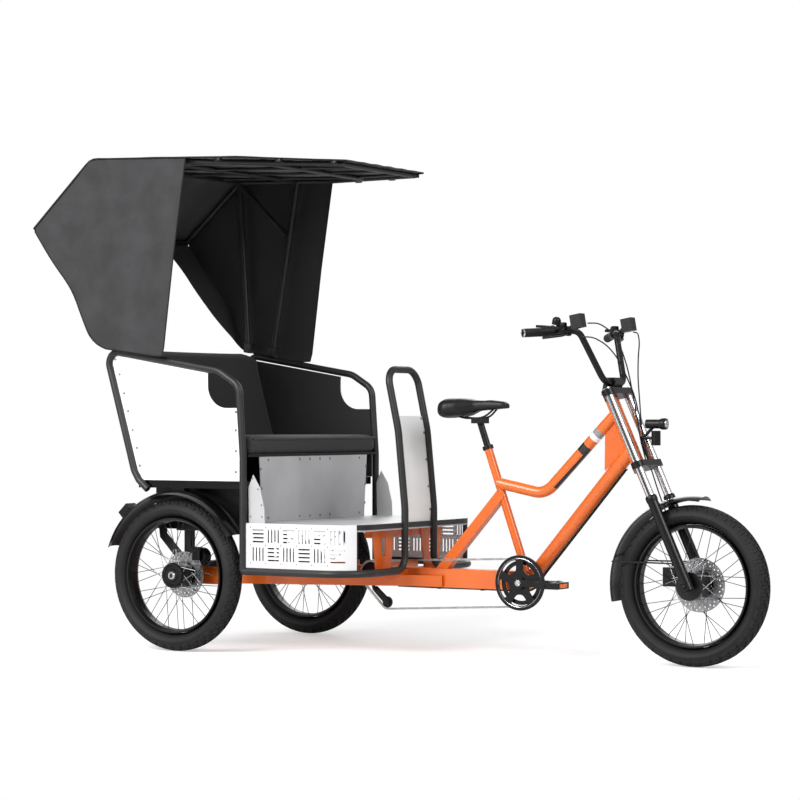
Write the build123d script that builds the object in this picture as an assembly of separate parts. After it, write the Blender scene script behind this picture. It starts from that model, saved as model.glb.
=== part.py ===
"""Electric cycle rickshaw: a bicycle front end that steers, and a two-seat cabin between two rear wheels.

Millimetres.  +X runs forward, +Y to the rider's left, +Z up.  While it is drawn, X is counted
from the rear axle and Z from the floor; on export the origin moves to the floor under the
middle of the whole vehicle.
"""
from build123d import *
import math
import os

# ---------------------------------------------------------------- driving sizes
deck_front = 820            # rear axle to the front edge of the passengers' floor
rider_space = 484           # that edge to the bottom bracket
front_centre = 681          # bottom bracket to front axle
bb_x = deck_front + rider_space
wheelbase = bb_x + front_centre
track = 932                 # between the middles of the rear tyres
tyre_radius = 295
tyre_width = 91
bead_radius = 224           # where the tyre sits on the rim
rim_inner_radius = 211
rim_width = 66
spoke_count = 36
spoke_radius = 1.3
seat_gap = 0.3              # between pieces that rest on each other
pin_gap = 0.05              # radial clearance of a turning shaft in its bore
sheet = 3                   # aluminium and plastic sheet

# steering: the head tube leans back by the rake, and the legs run parallel in front of it
rake = 24.3                 # degrees
leg_lead = 10               # leg line ahead of the front axle, along X
crown_offset = 32           # steering axis to leg line, square to both
leg_spacing = 154           # between the middles of the legs
stanchion_radius = 16
lower_leg_radius = 20
lower_leg_top = 612         # height where stanchion meets lower leg
upper_crown_height = 1000   # on the leg line
lower_crown_height = 735
crown_thick = 24
steerer_radius = 14
head_tube_radius = 25

# bicycle frame
bb_z = 287
bb_radius = 24
bb_width = 76
seat_tube_top = (bb_x - 176, bb_z + 500)    # x, z
seat_tube_radius = 16
top_tube_low = (bb_x + 70, bb_z + 333)
top_tube_radius = 22
top_tube_bend = 85
down_tube_radius = 27
stay_foot_x = bb_x - 378
stay_width = 38
beam_width = 60
beam_bottom = 255
beam_top = 327
saddle_top = 984
saddle_rear_x = bb_x - 375
saddle_length = 286
saddle_width = 190

# rear axle and under-frame
axle_beam_front = 106
axle_beam_rear = 40
axle_beam_half = 340
stub_radius = 12.5
side_beam_front = deck_front + 120      # where the slanting beams meet the main beam
side_beam_height = 42
side_beam_width = 40

# passenger platform
side_y = 480                # middle plane of the tubes of the cabin side
frame_tube = 14             # radius of the cabin tubes
deck_top = 505
deck_rear = 334
deck_corner = 140
rail_z = 321
post_x = 320                # front post of the cabin side
seat_box_overhang = 26      # past the ends of the axle beam
seat_box_half = axle_beam_half + seat_box_overhang
seat_box_rear = -180
seat_box_bottom = 470
seat_box_top = 757
pan_thick = 11
cushion_front = 343
cushion_rear = -150
cushion_high = 68
tray_bottom = 634
tray_top = 664

# canopy
canopy_overhang = 45        # curtains, outside the middle of the cabin side tubes
canopy_half = side_y + canopy_overhang
canopy_sheet = 4
roof_rear = (-386, 1938)
roof_front = (668, 1896)
roof_front_half = 287
hood_peak = (-679, 1672)
bow_radius = 11

# drive
crank_length = 170
chain_y = -62               # middle plane of the chain
chain_width = 7
chain_high = 8
chain_clear = 2             # chain to the turning chainring
guard_radius = 104
ring_radius = 84
cassette = (bb_x - 664, bb_z + 13)      # x, z of the idler cassette behind the pedals
cassette_radius = 46
jockey = (cassette[0] + 73, cassette[1] - 108)     # x, z of the lower tension wheel
jockey_radius = 22
crank_axle_radius = 9

# places that several pieces use
tan_rake = math.tan(math.radians(rake))
cos_rake = math.cos(math.radians(rake))
sin_rake = math.sin(math.radians(rake))
leg_y = leg_spacing / 2
cushion_half = side_y - frame_tube - seat_gap
wheel_y = track / 2
far = 3000                  # beyond every piece, for cuts that go right through
rear_reach = hood_peak[0]
front_reach = wheelbase + tyre_radius
middle_x = (rear_reach + front_reach) / 2


def leg_point(height):
    """A point (x, z) of the fork legs' line."""
    return (wheelbase + leg_lead - (height - tyre_radius) * tan_rake, height)


def steer_point(leg_height):
    """The point (x, z) of the steering axis square across from the leg line."""
    x, z = leg_point(leg_height)
    return (x - crown_offset * cos_rake, z - crown_offset * sin_rake)


def along_steer(point, distance):
    """A point moved up the steering axis."""
    return (point[0] - distance * sin_rake, point[1] + distance * cos_rake)


# ---------------------------------------------------------------- ways of making a piece
def rod(start, end, radius):
    """A round bar between two points."""
    line = Line(start, end)
    return sweep(Plane(origin=start, z_dir=line % 0) * Circle(radius), path=line)


def bent_bar(points, bends, radius):
    """A round bar along runs joined by tangent arcs, one bend radius for each corner."""
    path = FilletPolyline(*points, radius=bends)
    return sweep(Plane(origin=path @ 0, z_dir=path % 0) * Circle(radius), path=path)


def box_beam(start, end, width, height):
    """A square-ended beam between two points; width is level, height is square to it."""
    line = Line(start, end)
    along = line % 0
    level = Vector(0, 0, 1).cross(along)
    section = Plane(origin=start, x_dir=level, z_dir=along) * Rectangle(width, height)
    return extrude(section, amount=line.length)


def block(x, y, z):
    """A block from three (low, high) pairs."""
    size = [high - low for low, high in (x, y, z)]
    middle = [(high + low) / 2 for low, high in (x, y, z)]
    return Pos(*middle) * Box(*size)


def turned(profile):
    """A solid turned about the Y axis from a face drawn as (along the axle, out from it)."""
    return revolve(Plane.YZ * profile, Axis.Y)


def ring(inner, outer, y_low, y_high):
    """A flat ring about the Y axis."""
    return turned(Pos((y_low + y_high) / 2, (inner + outer) / 2) * Rectangle(y_high - y_low, outer - inner))


def disc(radius, y_low, y_high):
    """A disc about the Y axis."""
    return Pos(0, (y_low + y_high) / 2, 0) * Rot(90, 0, 0) * Cylinder(radius, y_high - y_low)


def side_plate(outline, y_low, y_high):
    """A plate parallel to the cabin side from an outline of (x, z) points."""
    face = Plane.XZ * make_face(Polyline(*outline, close=True))
    return Pos(0, y_high, 0) * extrude(face, amount=y_high - y_low)


def mirrored(piece):
    """The same piece on the other side of the vehicle."""
    return mirror(piece, about=Plane.XZ)


def both(piece):
    return Part() + [piece, mirrored(piece)]


nodes = {}

# ---------------------------------------------------------------- wheels
shoulder_drop = 15
bead_half = 34


def tyre():
    half = tyre_width / 2
    shoulder = tyre_radius - shoulder_drop
    side = (bead_radius + shoulder) / 2
    outline = [
        ThreePointArc((-bead_half, bead_radius), (-half, side), (-bead_half, shoulder)),
        ThreePointArc((-bead_half, shoulder), (0, tyre_radius), (bead_half, shoulder)),
        ThreePointArc((bead_half, shoulder), (half, side), (bead_half, bead_radius)),
        Line((bead_half, bead_radius), (-bead_half, bead_radius)),
    ]
    return turned(make_face(outline))


def rim():
    half = rim_width / 2
    flange = (bead_radius + rim_inner_radius) / 2
    well = half / 2
    return turned(make_face(Polyline(
        (-half, bead_radius), (half, bead_radius), (half, flange), (well, rim_inner_radius),
        (-well, rim_inner_radius), (-half, flange), close=True)))


def spokes(flange_radius, flange_low, flange_high):
    """Spokes cross from each hub flange to the rim, leading and trailing by turns."""
    sweep_angle = 46
    rim_y = 6
    bars = []
    for number in range(spoke_count):
        at_rim = math.radians(number * 360 / spoke_count)
        lead = sweep_angle if number % 4 < 2 else -sweep_angle
        at_hub = at_rim + math.radians(lead)
        high = number % 2 == 0
        hub_y = flange_high if high else flange_low
        side = rim_y if high else -rim_y
        hub_end = (flange_radius * math.cos(at_hub), hub_y, flange_radius * math.sin(at_hub))
        reach = rim_inner_radius + 3
        rim_end = (reach * math.cos(at_rim), side, reach * math.sin(at_rim))
        bars.append(rod(hub_end, rim_end, spoke_radius))
    return bars


def rotor(radius, y_low, thick, hub_radius):
    """A drilled brake disc on the hub's side."""
    plate = ring(hub_radius - 4, radius, y_low, y_low + thick)
    rows = ((radius - 8, 24), (radius - 18, 24))        # hole circle radius, holes
    for circle, count in rows:
        for number in range(count):
            angle = 2 * math.pi * (number + (circle == radius - 8) / 2) / count
            plate -= Pos(circle * math.cos(angle), 0, circle * math.sin(angle)) * disc(3, y_low - 1, y_low + thick + 1)
    return plate


# rear hub, drawn for the left wheel: +Y is outward
hub_radius = 49
hub_out = 30                # outer face from the middle of the tyre
hub_in = -34
rear_rotor_radius = 90
rotor_thick = 2
neck_radius = 30
hub_body = disc(hub_radius, hub_in, hub_out) + disc(neck_radius, hub_in - 14, hub_in)
rear_rotor = rotor(rear_rotor_radius, hub_in - 14, rotor_thick, neck_radius)
rear_wheel = Part() + [hub_body, rim(), rear_rotor, *spokes(hub_radius - 3, hub_in + 4, hub_out - 4)]
rear_wheel -= disc(stub_radius + pin_gap, hub_in - 20, hub_out + 5)

front_hub_radius = 52
front_hub_half = 44
front_rotor_radius = 100
front_axle_radius = 7.5
front_rotor_y = 50
front_body = disc(front_hub_radius, -front_hub_half, front_hub_half - 6)
front_body += disc(neck_radius, front_hub_half - 6, front_rotor_y + rotor_thick)
front_wheel = Part() + [front_body, rim(), rotor(front_rotor_radius, front_rotor_y, rotor_thick, neck_radius),
                        *spokes(front_hub_radius - 3, -front_hub_half + 4, front_hub_half - 10)]
front_wheel -= disc(front_axle_radius + pin_gap, -front_hub_half - 5, front_rotor_y + 10)

rear_place = {"left": Pos(0, wheel_y, tyre_radius), "right": Pos(0, -wheel_y, tyre_radius)}
front_place = Pos(wheelbase, 0, tyre_radius)
for side, place in rear_place.items():
    hub = rear_wheel if side == "left" else mirrored(rear_wheel)
    nodes[f"rear_wheel_{side}"] = place * hub
    nodes[f"rear_tyre_{side}"] = place * tyre()
nodes["front_wheel"] = front_place * front_wheel
nodes["front_tyre"] = front_place * tyre()

# ---------------------------------------------------------------- under-frame
beam_half = beam_width / 2
beam_z = (beam_bottom, beam_top)
main_beam = block((axle_beam_front, bb_x), (-beam_half, beam_half), beam_z)

nut_radius = 20
nut_thick = 9
stub_end = wheel_y + hub_out + seat_gap
knuckle_width = 40
knuckle_rear = -66
knuckle = block((knuckle_rear, axle_beam_front), (axle_beam_half - knuckle_width, axle_beam_half), beam_z)
stub = Pos(0, 0, tyre_radius) * disc(stub_radius, axle_beam_half, stub_end + nut_thick)
collar_radius = stub_radius + 9
collar = Pos(0, 0, tyre_radius) * disc(collar_radius, axle_beam_half, wheel_y + hub_in - 14 - seat_gap)
nut = Pos(0, 0, tyre_radius) * disc(nut_radius, stub_end, stub_end + nut_thick)
axle_bar = block((axle_beam_rear, axle_beam_front), (-axle_beam_half, axle_beam_half), beam_z)
nodes["rear_axle_beam"] = Part() + [axle_bar, both(knuckle + stub + nut + collar)]

side_beam_z = beam_bottom + side_beam_height / 2 + 4
side_beam = box_beam((axle_beam_front - 10, -axle_beam_half + 30, side_beam_z),
                     (side_beam_front, -beam_half + 6, side_beam_z), side_beam_width, side_beam_height)
cross_x = (300, 520)
cross_members = []
for x in cross_x:
    reach = 430 if x > post_x else 330
    cross_members.append(block((x, x + 36), (-reach, reach), (side_beam_z + side_beam_height / 2, beam_top)))
behind_axle_beam = block((0, axle_beam_front), (-far, far), (0, far))
beam_room = block((0, far), (-beam_half, beam_half), beam_z)
nodes["under_frame"] = Part() + [both(side_beam) - behind_axle_beam, *cross_members] - beam_room

post_thick = 30
seat_post_places = (        # x, y of each upright under the seat box, and what it stands on
    (knuckle_rear + 6, axle_beam_half - post_thick, beam_top),
    (cross_x[0], 285, beam_top),
)
uprights = [block((x, x + post_thick), (y, y + post_thick), (low, seat_box_bottom))
            for x, y, low in seat_post_places]
flange = block((knuckle_rear - 14, 0), (axle_beam_half - 50, seat_box_half), (seat_box_bottom - 6, seat_box_bottom))
brace_y = (seat_box_half + seat_gap, seat_box_half + seat_gap + 6)
brace_eye = Pos(0, 0, tyre_radius) * (disc(36, *brace_y) - disc(collar_radius + seat_gap, brace_y[0] - 1, brace_y[1] + 1))
brace = side_plate([(-22, tyre_radius + 4), (-156, seat_box_bottom - 34), (-168, seat_box_bottom + 60),
                    (-132, seat_box_bottom + 60), (-124, seat_box_bottom - 18), (2, tyre_radius + 32)], *brace_y)
nodes["seat_supports"] = both(Part() + [*uprights, flange, brace_eye, brace - Pos(0, 0, tyre_radius) * disc(
    collar_radius + 8, brace_y[0] - 1, brace_y[1] + 1)])

# ---------------------------------------------------------------- bicycle frame
bb = (bb_x, 0, bb_z)
shell = Pos(*bb) * disc(bb_radius, -bb_width / 2, bb_width / 2)
nodes["bottom_bracket"] = shell - Pos(*bb) * disc(crank_axle_radius + pin_gap, -bb_width, bb_width)

head_low = along_steer(steer_point(lower_crown_height), crown_thick / 2 + seat_gap)
head_high = along_steer(steer_point(upper_crown_height), -crown_thick / 2 - seat_gap)
head = rod((head_low[0], 0, head_low[1]), (head_high[0], 0, head_high[1]), head_tube_radius)
head_length = math.dist(head_low, head_high)
head_bore = rod((head_low[0] + 5 * sin_rake, 0, head_low[1] - 5 * cos_rake),
                (head_high[0] - 5 * sin_rake, 0, head_high[1] + 5 * cos_rake), steerer_radius + pin_gap)
keep_out = Pos(*bb) * disc(bb_radius, -bb_width / 2, bb_width / 2)

down_high = along_steer(head_low, 0.24 * head_length)
top_join = along_steer(head_high, -0.2 * head_length)
seat_low = (bb_x, bb_z)
seat_run = (seat_tube_top[0] - seat_low[0], seat_tube_top[1] - seat_low[1])


def on_seat_tube(share):
    return (seat_low[0] + share * seat_run[0], seat_low[1] + share * seat_run[1])


seat_join = on_seat_tube(0.745)
stay_join = on_seat_tube(0.66)
seat_tube = rod((*seat_low[:1], 0, seat_low[1]), (seat_tube_top[0], 0, seat_tube_top[1]), seat_tube_radius)
seat_post_radius = 13
nodes["down_tube"] = rod((down_high[0], 0, down_high[1]), (bb_x, 0, bb_z), down_tube_radius) - head - keep_out
nodes["seat_tube"] = seat_tube - keep_out - nodes["down_tube"]
nodes["main_beam"] = main_beam - keep_out - nodes["down_tube"] - nodes["seat_tube"]
nodes["top_tube"] = bent_bar([(seat_join[0], 0, seat_join[1]), (top_tube_low[0], 0, top_tube_low[1]),
                              (top_join[0], 0, top_join[1])], [top_tube_bend], top_tube_radius) - head - seat_tube
stay = box_beam((stay_foot_x - 50, 0, beam_top - 62), (stay_join[0], 0, stay_join[1]), stay_width, stay_width)
nodes["rear_stay"] = stay - seat_tube - nodes["top_tube"] - block((0, bb_x), (-stay_width, stay_width), (0, beam_top))
gusset_low = along_steer(head_low, 0.30 * head_length)
gusset_high = along_steer(head_high, -0.24 * head_length)
gusset_back = 105
gusset = side_plate([gusset_low, gusset_high, (gusset_high[0] - gusset_back * 0.5, gusset_high[1] - gusset_back * 0.62),
                     (gusset_low[0] - gusset_back, gusset_low[1] - gusset_back * 0.9)], -4, 4)
gusset -= nodes["top_tube"] + nodes["down_tube"] + head
nodes["head_tube"] = Part() + [head - head_bore, gusset]

# seat post, clamp collar and saddle
post_rise = 118
post_unit = (seat_run[0] / math.hypot(*seat_run), seat_run[1] / math.hypot(*seat_run))
post_top = (seat_tube_top[0] + post_unit[0] * post_rise, seat_tube_top[1] + post_unit[1] * post_rise)
seat_post = rod((seat_tube_top[0], 0, seat_tube_top[1]), (post_top[0], 0, post_top[1]), seat_post_radius)
collar_ring = rod((seat_tube_top[0], 0, seat_tube_top[1]),
                  (seat_tube_top[0] + post_unit[0] * 14, 0, seat_tube_top[1] + post_unit[1] * 14), seat_tube_radius + 5)
clamp_block = block((post_top[0] - 22, post_top[0] + 26), (-28, 28), (post_top[1] - 12, post_top[1] + 12))
rail_y = 22
rail_low = post_top[1] + 12
rails = [bent_bar([(saddle_rear_x + 34, y, rail_low + 22), (saddle_rear_x + 96, y, rail_low - 4),
                   (saddle_rear_x + 190, y, rail_low - 4), (saddle_rear_x + 236, y * 0.5, rail_low + 42)],
                  [30, 30], 4) for y in (-rail_y, rail_y)]
nodes["seat_post"] = Part() + [seat_post, collar_ring, clamp_block]
saddle_half = saddle_width / 2
saddle_plan = [(0, -0.45), (14, -0.80), (45, -1.0), (95, -0.86), (150, -0.40), (200, -0.25), (262, -0.21),
               (saddle_length, -0.11)]
saddle_edge = [(saddle_rear_x + x, share * saddle_half) for x, share in saddle_plan]
saddle_plan = make_face(Polyline(*saddle_edge, *[(x, -y) for x, y in reversed(saddle_edge)], close=True))
saddle_side = side_plate([(saddle_rear_x + x, saddle_top + z) for x, z in (
    (0, -22), (12, -6), (40, 0), (95, 0), (150, -9), (215, -9), (270, -18), (saddle_length, -26),
    (saddle_length, -36), (160, -44), (110, -66), (30, -76), (4, -60))], -far, far)
saddle_body = extrude(Pos(0, 0, saddle_top - 80) * saddle_plan, amount=100) & saddle_side
nodes["saddle"] = Part() + [saddle_body, *rails] - nodes["seat_post"]

# ---------------------------------------------------------------- platform
def platform_outline(inset):
    """The rounded front of the platform, as a closed face, inset all round."""
    half = side_y - inset
    front = deck_front - inset
    face = make_face(Polyline((deck_rear, -half), (front, -half), (front, half), (deck_rear, half), close=True))
    corners = face.vertices().sort_by(Axis.X)[-2:]
    return fillet(corners, deck_corner - inset)


deck_edge = 26
deck_inset = sheet + seat_gap
deck = extrude(Pos(0, 0, deck_top - deck_edge) * platform_outline(deck_inset), amount=deck_edge)
deck -= extrude(Pos(0, 0, deck_top - deck_edge) * platform_outline(deck_inset + sheet), amount=deck_edge - sheet)
nodes["deck"] = deck

# skirts: perforated in square cells, upright slots and level slots by turns
cell = 70
slot_long = 52
slot_wide = 6
slot_pitch = 15
slots_each = 4
cell_rows = 2
cell_columns = 6
first_cell_x = 390          # middle of the rearmost column
first_cell_z = 388          # middle of the lower row
skirt_low = rail_z + frame_tube + seat_gap
skirt_end_x = deck_front - 24
hem = 5                     # unbroken edge
band = extrude(Pos(0, 0, skirt_low) * platform_outline(0), amount=deck_top - skirt_low)
band -= extrude(Pos(0, 0, skirt_low) * platform_outline(sheet), amount=deck_top - skirt_low)
band -= block((skirt_end_x, far), (-far, far), (0, far)) + block(
    (0, deck_rear + 6), (-side_y + deck_edge, side_y - deck_edge), (0, far))
slot_faces = []
for row in range(cell_rows):
    for column in range(cell_columns):
        upright = (row + column) % 2 == 0
        wide, high = (slot_wide, slot_long) if upright else (slot_long, slot_wide)
        for number in range(slots_each):
            step = (number - (slots_each - 1) / 2) * slot_pitch
            across, up = (step, 0) if upright else (0, step)
            place = Pos(first_cell_x + column * cell + across, first_cell_z + row * cell + up)
            slot_faces.append(place * Rectangle(wide, high))
slot_room = Pos((deck_rear + skirt_end_x) / 2, (skirt_low + deck_top) / 2) * Rectangle(
    skirt_end_x - deck_rear - 2 * hem, deck_top - skirt_low - 2 * hem)
slots = extrude(Plane.XZ * (Sketch() + slot_faces & slot_room), amount=side_y + hem, both=True)

rail_front_y = 200          # where the lower rail meets the foot of the grab loop
corner_start = deck_front - deck_corner
lower_rail = bent_bar([(post_x, side_y, rail_z), (deck_front, side_y, rail_z), (deck_front, rail_front_y, rail_z)],
                      [deck_corner], frame_tube)
deck_low = deck_top - deck_edge
corner_post_angle = math.radians(34)
post_inset = 10             # the post stands inside the skirt
post_reach = deck_corner - post_inset
corner_post = (corner_start + post_reach * math.cos(corner_post_angle),
               side_y - deck_corner + post_reach * math.sin(corner_post_angle))
corner_post_radius = 9
post = rod((*corner_post, rail_z), (*corner_post, deck_low - seat_gap), corner_post_radius)
post_room = rod((*corner_post, rail_z), (*corner_post, deck_top), corner_post_radius + seat_gap)
nodes["deck_skirts"] = band - slots - both(post_room)
rim_low = deck_top - 20
rim = extrude(Pos(0, 0, rim_low) * platform_outline(0), amount=deck_top - rim_low)
rim -= extrude(Pos(0, 0, rim_low) * platform_outline(sheet), amount=deck_top - rim_low)
rim_half = side_y - 40
rim &= block((skirt_end_x + seat_gap, far), (-rim_half, rim_half), (0, far))
nodes["deck_rail"] = both(lower_rail + post) + rim

bracket_x = deck_front - 58
bracket_thick = 5
bracket_foot = beam_top - 6
bracket_slot = block((bracket_x - far, bracket_x + far), (165, 195), (378, 450))
bracket = extrude(Plane(origin=(bracket_x, 0, 0), x_dir=(0, 1, 0), z_dir=(1, 0, 0)) * make_face(Polyline(
    (98, deck_low), (262, deck_low), (232, bracket_foot), (128, bracket_foot), close=True)), amount=bracket_thick)
shelf = block((bracket_x - 30, bracket_x), (-262, 262), (deck_low - 30, deck_low))
feet = block((bracket_x - 30, bracket_x + 24), (beam_half, 262), (side_beam_z + side_beam_height / 2, bracket_foot))
nodes["deck_brackets"] = Part() + [both(bracket - bracket_slot), shelf, both(feet)]

# grab loop: up from the lower rail, leaning back, and over
loop_half = 109
loop_top = (deck_front - 82, 1096)
loop_mid = (deck_front - 30, 860)
loop_foot = (deck_front, 560)
loop_points = [
    (deck_front, -rail_front_y, rail_z), (deck_front, -loop_half, rail_z), (loop_foot[0], -loop_half, loop_foot[1]),
    (loop_mid[0], -loop_half, loop_mid[1]), (loop_top[0], -loop_half, loop_top[1]),
    (loop_top[0], loop_half, loop_top[1]), (loop_mid[0], loop_half, loop_mid[1]),
    (loop_foot[0], loop_half, loop_foot[1]), (deck_front, loop_half, rail_z), (deck_front, rail_front_y, rail_z),
]
grab_loop = bent_bar(loop_points, [60, 400, 400, 62, 62, 400, 400, 60], frame_tube)
leg_room = both(rod((deck_front, loop_half, rim_low - 20), (deck_front, loop_half, deck_top + 20), frame_tube + seat_gap))
nodes["deck"] = nodes["deck"] - leg_room
nodes["deck_rail"] = nodes["deck_rail"] - leg_room
nodes["grab_loop"] = grab_loop
panel_inset = loop_half - frame_tube - seat_gap
panel_top = 915
panel_foot = deck_top + seat_gap
lean = (loop_foot[0] - loop_mid[0]) / (loop_mid[1] - loop_foot[1])
panel_section = side_plate([(loop_foot[0] - 8, panel_foot), (loop_foot[0] - 4, loop_foot[1]),
                            (loop_mid[0] - 4, loop_mid[1]), (loop_mid[0] - 16, panel_top),
                            (loop_mid[0] - 20, panel_top), (loop_mid[0] - 8, loop_mid[1]),
                            (loop_foot[0] - 8, loop_foot[1]), (loop_foot[0] - 12, panel_foot)],
                           -panel_inset, panel_inset)
nodes["grab_panel"] = panel_section

# ---------------------------------------------------------------- cabin sides
side_run = [
    (-135, 628), (-178, 664), (-201, 701), (-344, 1181), (205, 1089), (301, 1030), (post_x, 760), (post_x, rail_z),
]
side_bends = [30, 60, 46, 90, 60, 400]
side_frame = bent_bar([(x, side_y, z) for x, z in side_run], side_bends, frame_tube)
side_clear = bent_bar([(x, side_y, z) for x, z in side_run], side_bends, frame_tube + seat_gap)
side_frame -= lower_rail
nodes["side_frame_left"] = side_frame
nodes["side_frame_right"] = mirrored(side_frame)

panel_low = tray_top + seat_gap
inset = frame_tube + 1
notch_x, notch_z = 151, 945      # corner of the hand-hold
notch_bend = 88
panel_outline = [(-172, panel_low), (-186, 702), (-322, 1160), (notch_x, 1081), (notch_x, notch_z),
                 (post_x - inset, notch_z), (post_x - inset, panel_low)]


def cabin_sheet(y_low, y_high):
    """The outline of the cabin side as a sheet, with the inner corner of its hand-hold rounded."""
    flat = side_plate(panel_outline, y_low, y_high)
    corner = flat.edges().filter_by(Axis.Y).sort_by_distance((notch_x, y_low, notch_z))[0]
    return fillet(corner, notch_bend) - side_clear


side_panel = cabin_sheet(side_y - 6, side_y - 6 + sheet)
nodes["side_panel_left"] = side_panel
nodes["side_panel_right"] = mirrored(side_panel)
lining = cabin_sheet(side_y - 11, side_y - 6 - seat_gap)
nodes["side_linings"] = both(lining)

back_panel = side_plate([(-208, 712), (-342, 1162), (-338, 1163), (-204, 713)], -cushion_half, cushion_half)
nodes["back_panel"] = back_panel

# ---------------------------------------------------------------- seat
seat_box = block((seat_box_rear, deck_rear - sheet - seat_gap), (-seat_box_half, seat_box_half), (seat_box_bottom, seat_box_top))
nodes["seat_box"] = seat_box
tray = block((seat_box_rear - 10, post_x - frame_tube - seat_gap), (-cushion_half, cushion_half), (tray_bottom, tray_top))
tray -= block((seat_box_rear - seat_gap, far), (-seat_box_half - seat_gap, seat_box_half + seat_gap), (0, far))
nodes["seat_tray"] = tray
pan = block((seat_box_rear, deck_rear), (-cushion_half, cushion_half), (seat_box_top + seat_gap, seat_box_top + pan_thick))
nodes["seat_pan"] = pan
panel_face = extrude(Plane(origin=(deck_rear - sheet, 0, 0), x_dir=(0, 1, 0), z_dir=(1, 0, 0)) * make_face(Polyline(
    (-seat_box_half - 2, deck_top + seat_gap), (seat_box_half + 2, deck_top + seat_gap),
    (seat_box_half + 23, seat_box_top), (-seat_box_half - 23, seat_box_top), close=True)), amount=sheet)
nodes["seat_front_panel"] = panel_face
leaf = side_plate([(deck_rear + 4, deck_top + seat_gap), (411, deck_top + seat_gap), (409, 560), (389, 640), (357, 690),
                   (post_x + frame_tube + 1, 640)], side_y - 17, side_y - 14)
nodes["wing_plates"] = both(leaf)
cushion_low = seat_box_top + pan_thick + seat_gap
cushion = block((cushion_rear, cushion_front), (-cushion_half, cushion_half), (cushion_low, cushion_low + cushion_high))
nodes["seat_cushion"] = fillet(cushion.edges(), 18)
back_foot = (-158, 790)
back_head = (-272, 1164)
back_thick = 74
backrest = side_plate([back_foot, back_head, (back_head[0] - back_thick, back_head[1] + 26),
                       (back_foot[0] - back_thick + 52, back_foot[1])], -cushion_half, cushion_half)
nodes["backrest"] = fillet(backrest.edges().filter_by(Axis.Y), 8) - block((-far, far), (-far, far), (0, cushion_low))

# ---------------------------------------------------------------- canopy
roof_slope = (roof_front[1] - roof_rear[1]) / (roof_front[0] - roof_rear[0])


def roof_under(x):
    """Height of the underside of the roof fabric."""
    return roof_rear[1] + (x - roof_rear[0]) * roof_slope - canopy_sheet


roof_side = side_plate([roof_rear, roof_front, (roof_front[0], roof_front[1] - canopy_sheet),
                        (roof_rear[0] + 2, roof_rear[1] - canopy_sheet), (hood_peak[0] + 3, hood_peak[1] - 3), hood_peak],
                       -600, 600)
roof_plan = [(hood_peak[0] - 10, canopy_half), (80, canopy_half + 3), (300, 514), (roof_front[0], roof_front_half)]
plan = roof_plan + [(x, -y) for x, y in reversed(roof_plan)]
nodes["canopy_roof"] = roof_side & extrude(make_face(Polyline(*plan, close=True)), amount=2200)

hood_back = [(-676, 1665), (-588, 1543), (-478, 1417), (-432, 1313), (-393, 1232), (-352, 1196)]
curtain = side_plate([(roof_rear[0] + 6, roof_under(roof_rear[0]) - 2), (80, roof_under(80) - seat_gap), (20, 1535),
                      (-28, 1143), (-309, 1180), *reversed(hood_back)],
                     canopy_half - canopy_sheet, canopy_half)
nodes["canopy_side_left"] = curtain
nodes["canopy_side_right"] = mirrored(curtain)
back_half = canopy_half - canopy_sheet - seat_gap
back_inner = [(x + 5, z + 1) for x, z in hood_back]
back_sheet = side_plate([*hood_back, *reversed(back_inner)], -back_half, back_half)
arch = extrude(Plane(origin=(-800, 0, 0), x_dir=(0, 1, 0), z_dir=(1, 0, 0)) * make_face(Polyline(
    (-490, 1100), (490, 1100), (480, 1245), (440, 1287), (379, 1363), (345, 1435), (362, 1540), (340, 1625),
    (-340, 1625), (-362, 1540), (-345, 1435), (-379, 1363), (-440, 1287), (-480, 1245), close=True)), amount=700)
nodes["canopy_back"] = back_sheet - arch

frame_y = side_y
rail_drop = bow_radius + seat_gap
top_rear = (-371, roof_under(-371) - rail_drop)
top_front = (-72, roof_under(-72) - rail_drop)
foot_front = (-199, 1157 + frame_tube)
foot_rear = (-323, 1177 + frame_tube)
bow_rear = (-655, 1668)


def frame_bar(start, end, radius):
    """A canopy bar in the plane of the cabin side."""
    return rod((start[0], frame_y, start[1]), (end[0], frame_y, end[1]), radius)


def roof_bow(x, half, height):
    """A bar across the canopy."""
    return rod((x, -half, height), (x, half, height), bow_radius - 1)


roof_ends = ((80, 470), (640, 262))      # x, half width
roof_rail = bent_bar([(top_rear[0], frame_y, top_rear[1]),
                      *[(x, half, roof_under(x) - rail_drop) for x, half in roof_ends]], [200], bow_radius)
post_radius = bow_radius + 1
side_bars = [
    frame_bar(foot_front, (top_front[0], top_front[1]), post_radius),
    frame_bar(foot_rear, (top_rear[0], top_rear[1] + 2), post_radius),
    frame_bar((top_rear[0] + 4, top_rear[1] - 8), (-125, 1684), bow_radius - 1),
    frame_bar((top_rear[0], top_rear[1] - 6), bow_rear, bow_radius - 0.5),
]
canopy_side_frame = Part() + [roof_rail, *side_bars]
bows = [roof_bow(x, half, roof_under(x) - rail_drop) for x, half in
        ((top_rear[0] + 3, frame_y), (top_front[0], frame_y - 3), (330, 378), (632, 266))]
bows.append(roof_bow(bow_rear[0] + 3, frame_y, bow_rear[1] + 2))
canopy_frame = canopy_side_frame + mirrored(canopy_side_frame)
for bow in bows:
    canopy_frame += bow
nodes["canopy_frame"] = canopy_frame

# ---------------------------------------------------------------- fenders and lamps
def arched(crown, edge, half, start, end):
    """A domed sheet arched over a wheel, from one angle to another, counted up from forward."""
    outer = ThreePointArc((-half, edge), (0, crown), (half, edge))
    inner = ThreePointArc((-half, edge - sheet), (0, crown - sheet), (half, edge - sheet))
    sides = [Line((-half, edge), (-half, edge - sheet)), Line((half, edge), (half, edge - sheet))]
    face = Plane.YZ * make_face([outer, inner, *sides])
    piece = revolve(face, Axis.Y, revolution_arc=start - end)
    return Rot(0, 90 - start, 0) * piece


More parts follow.
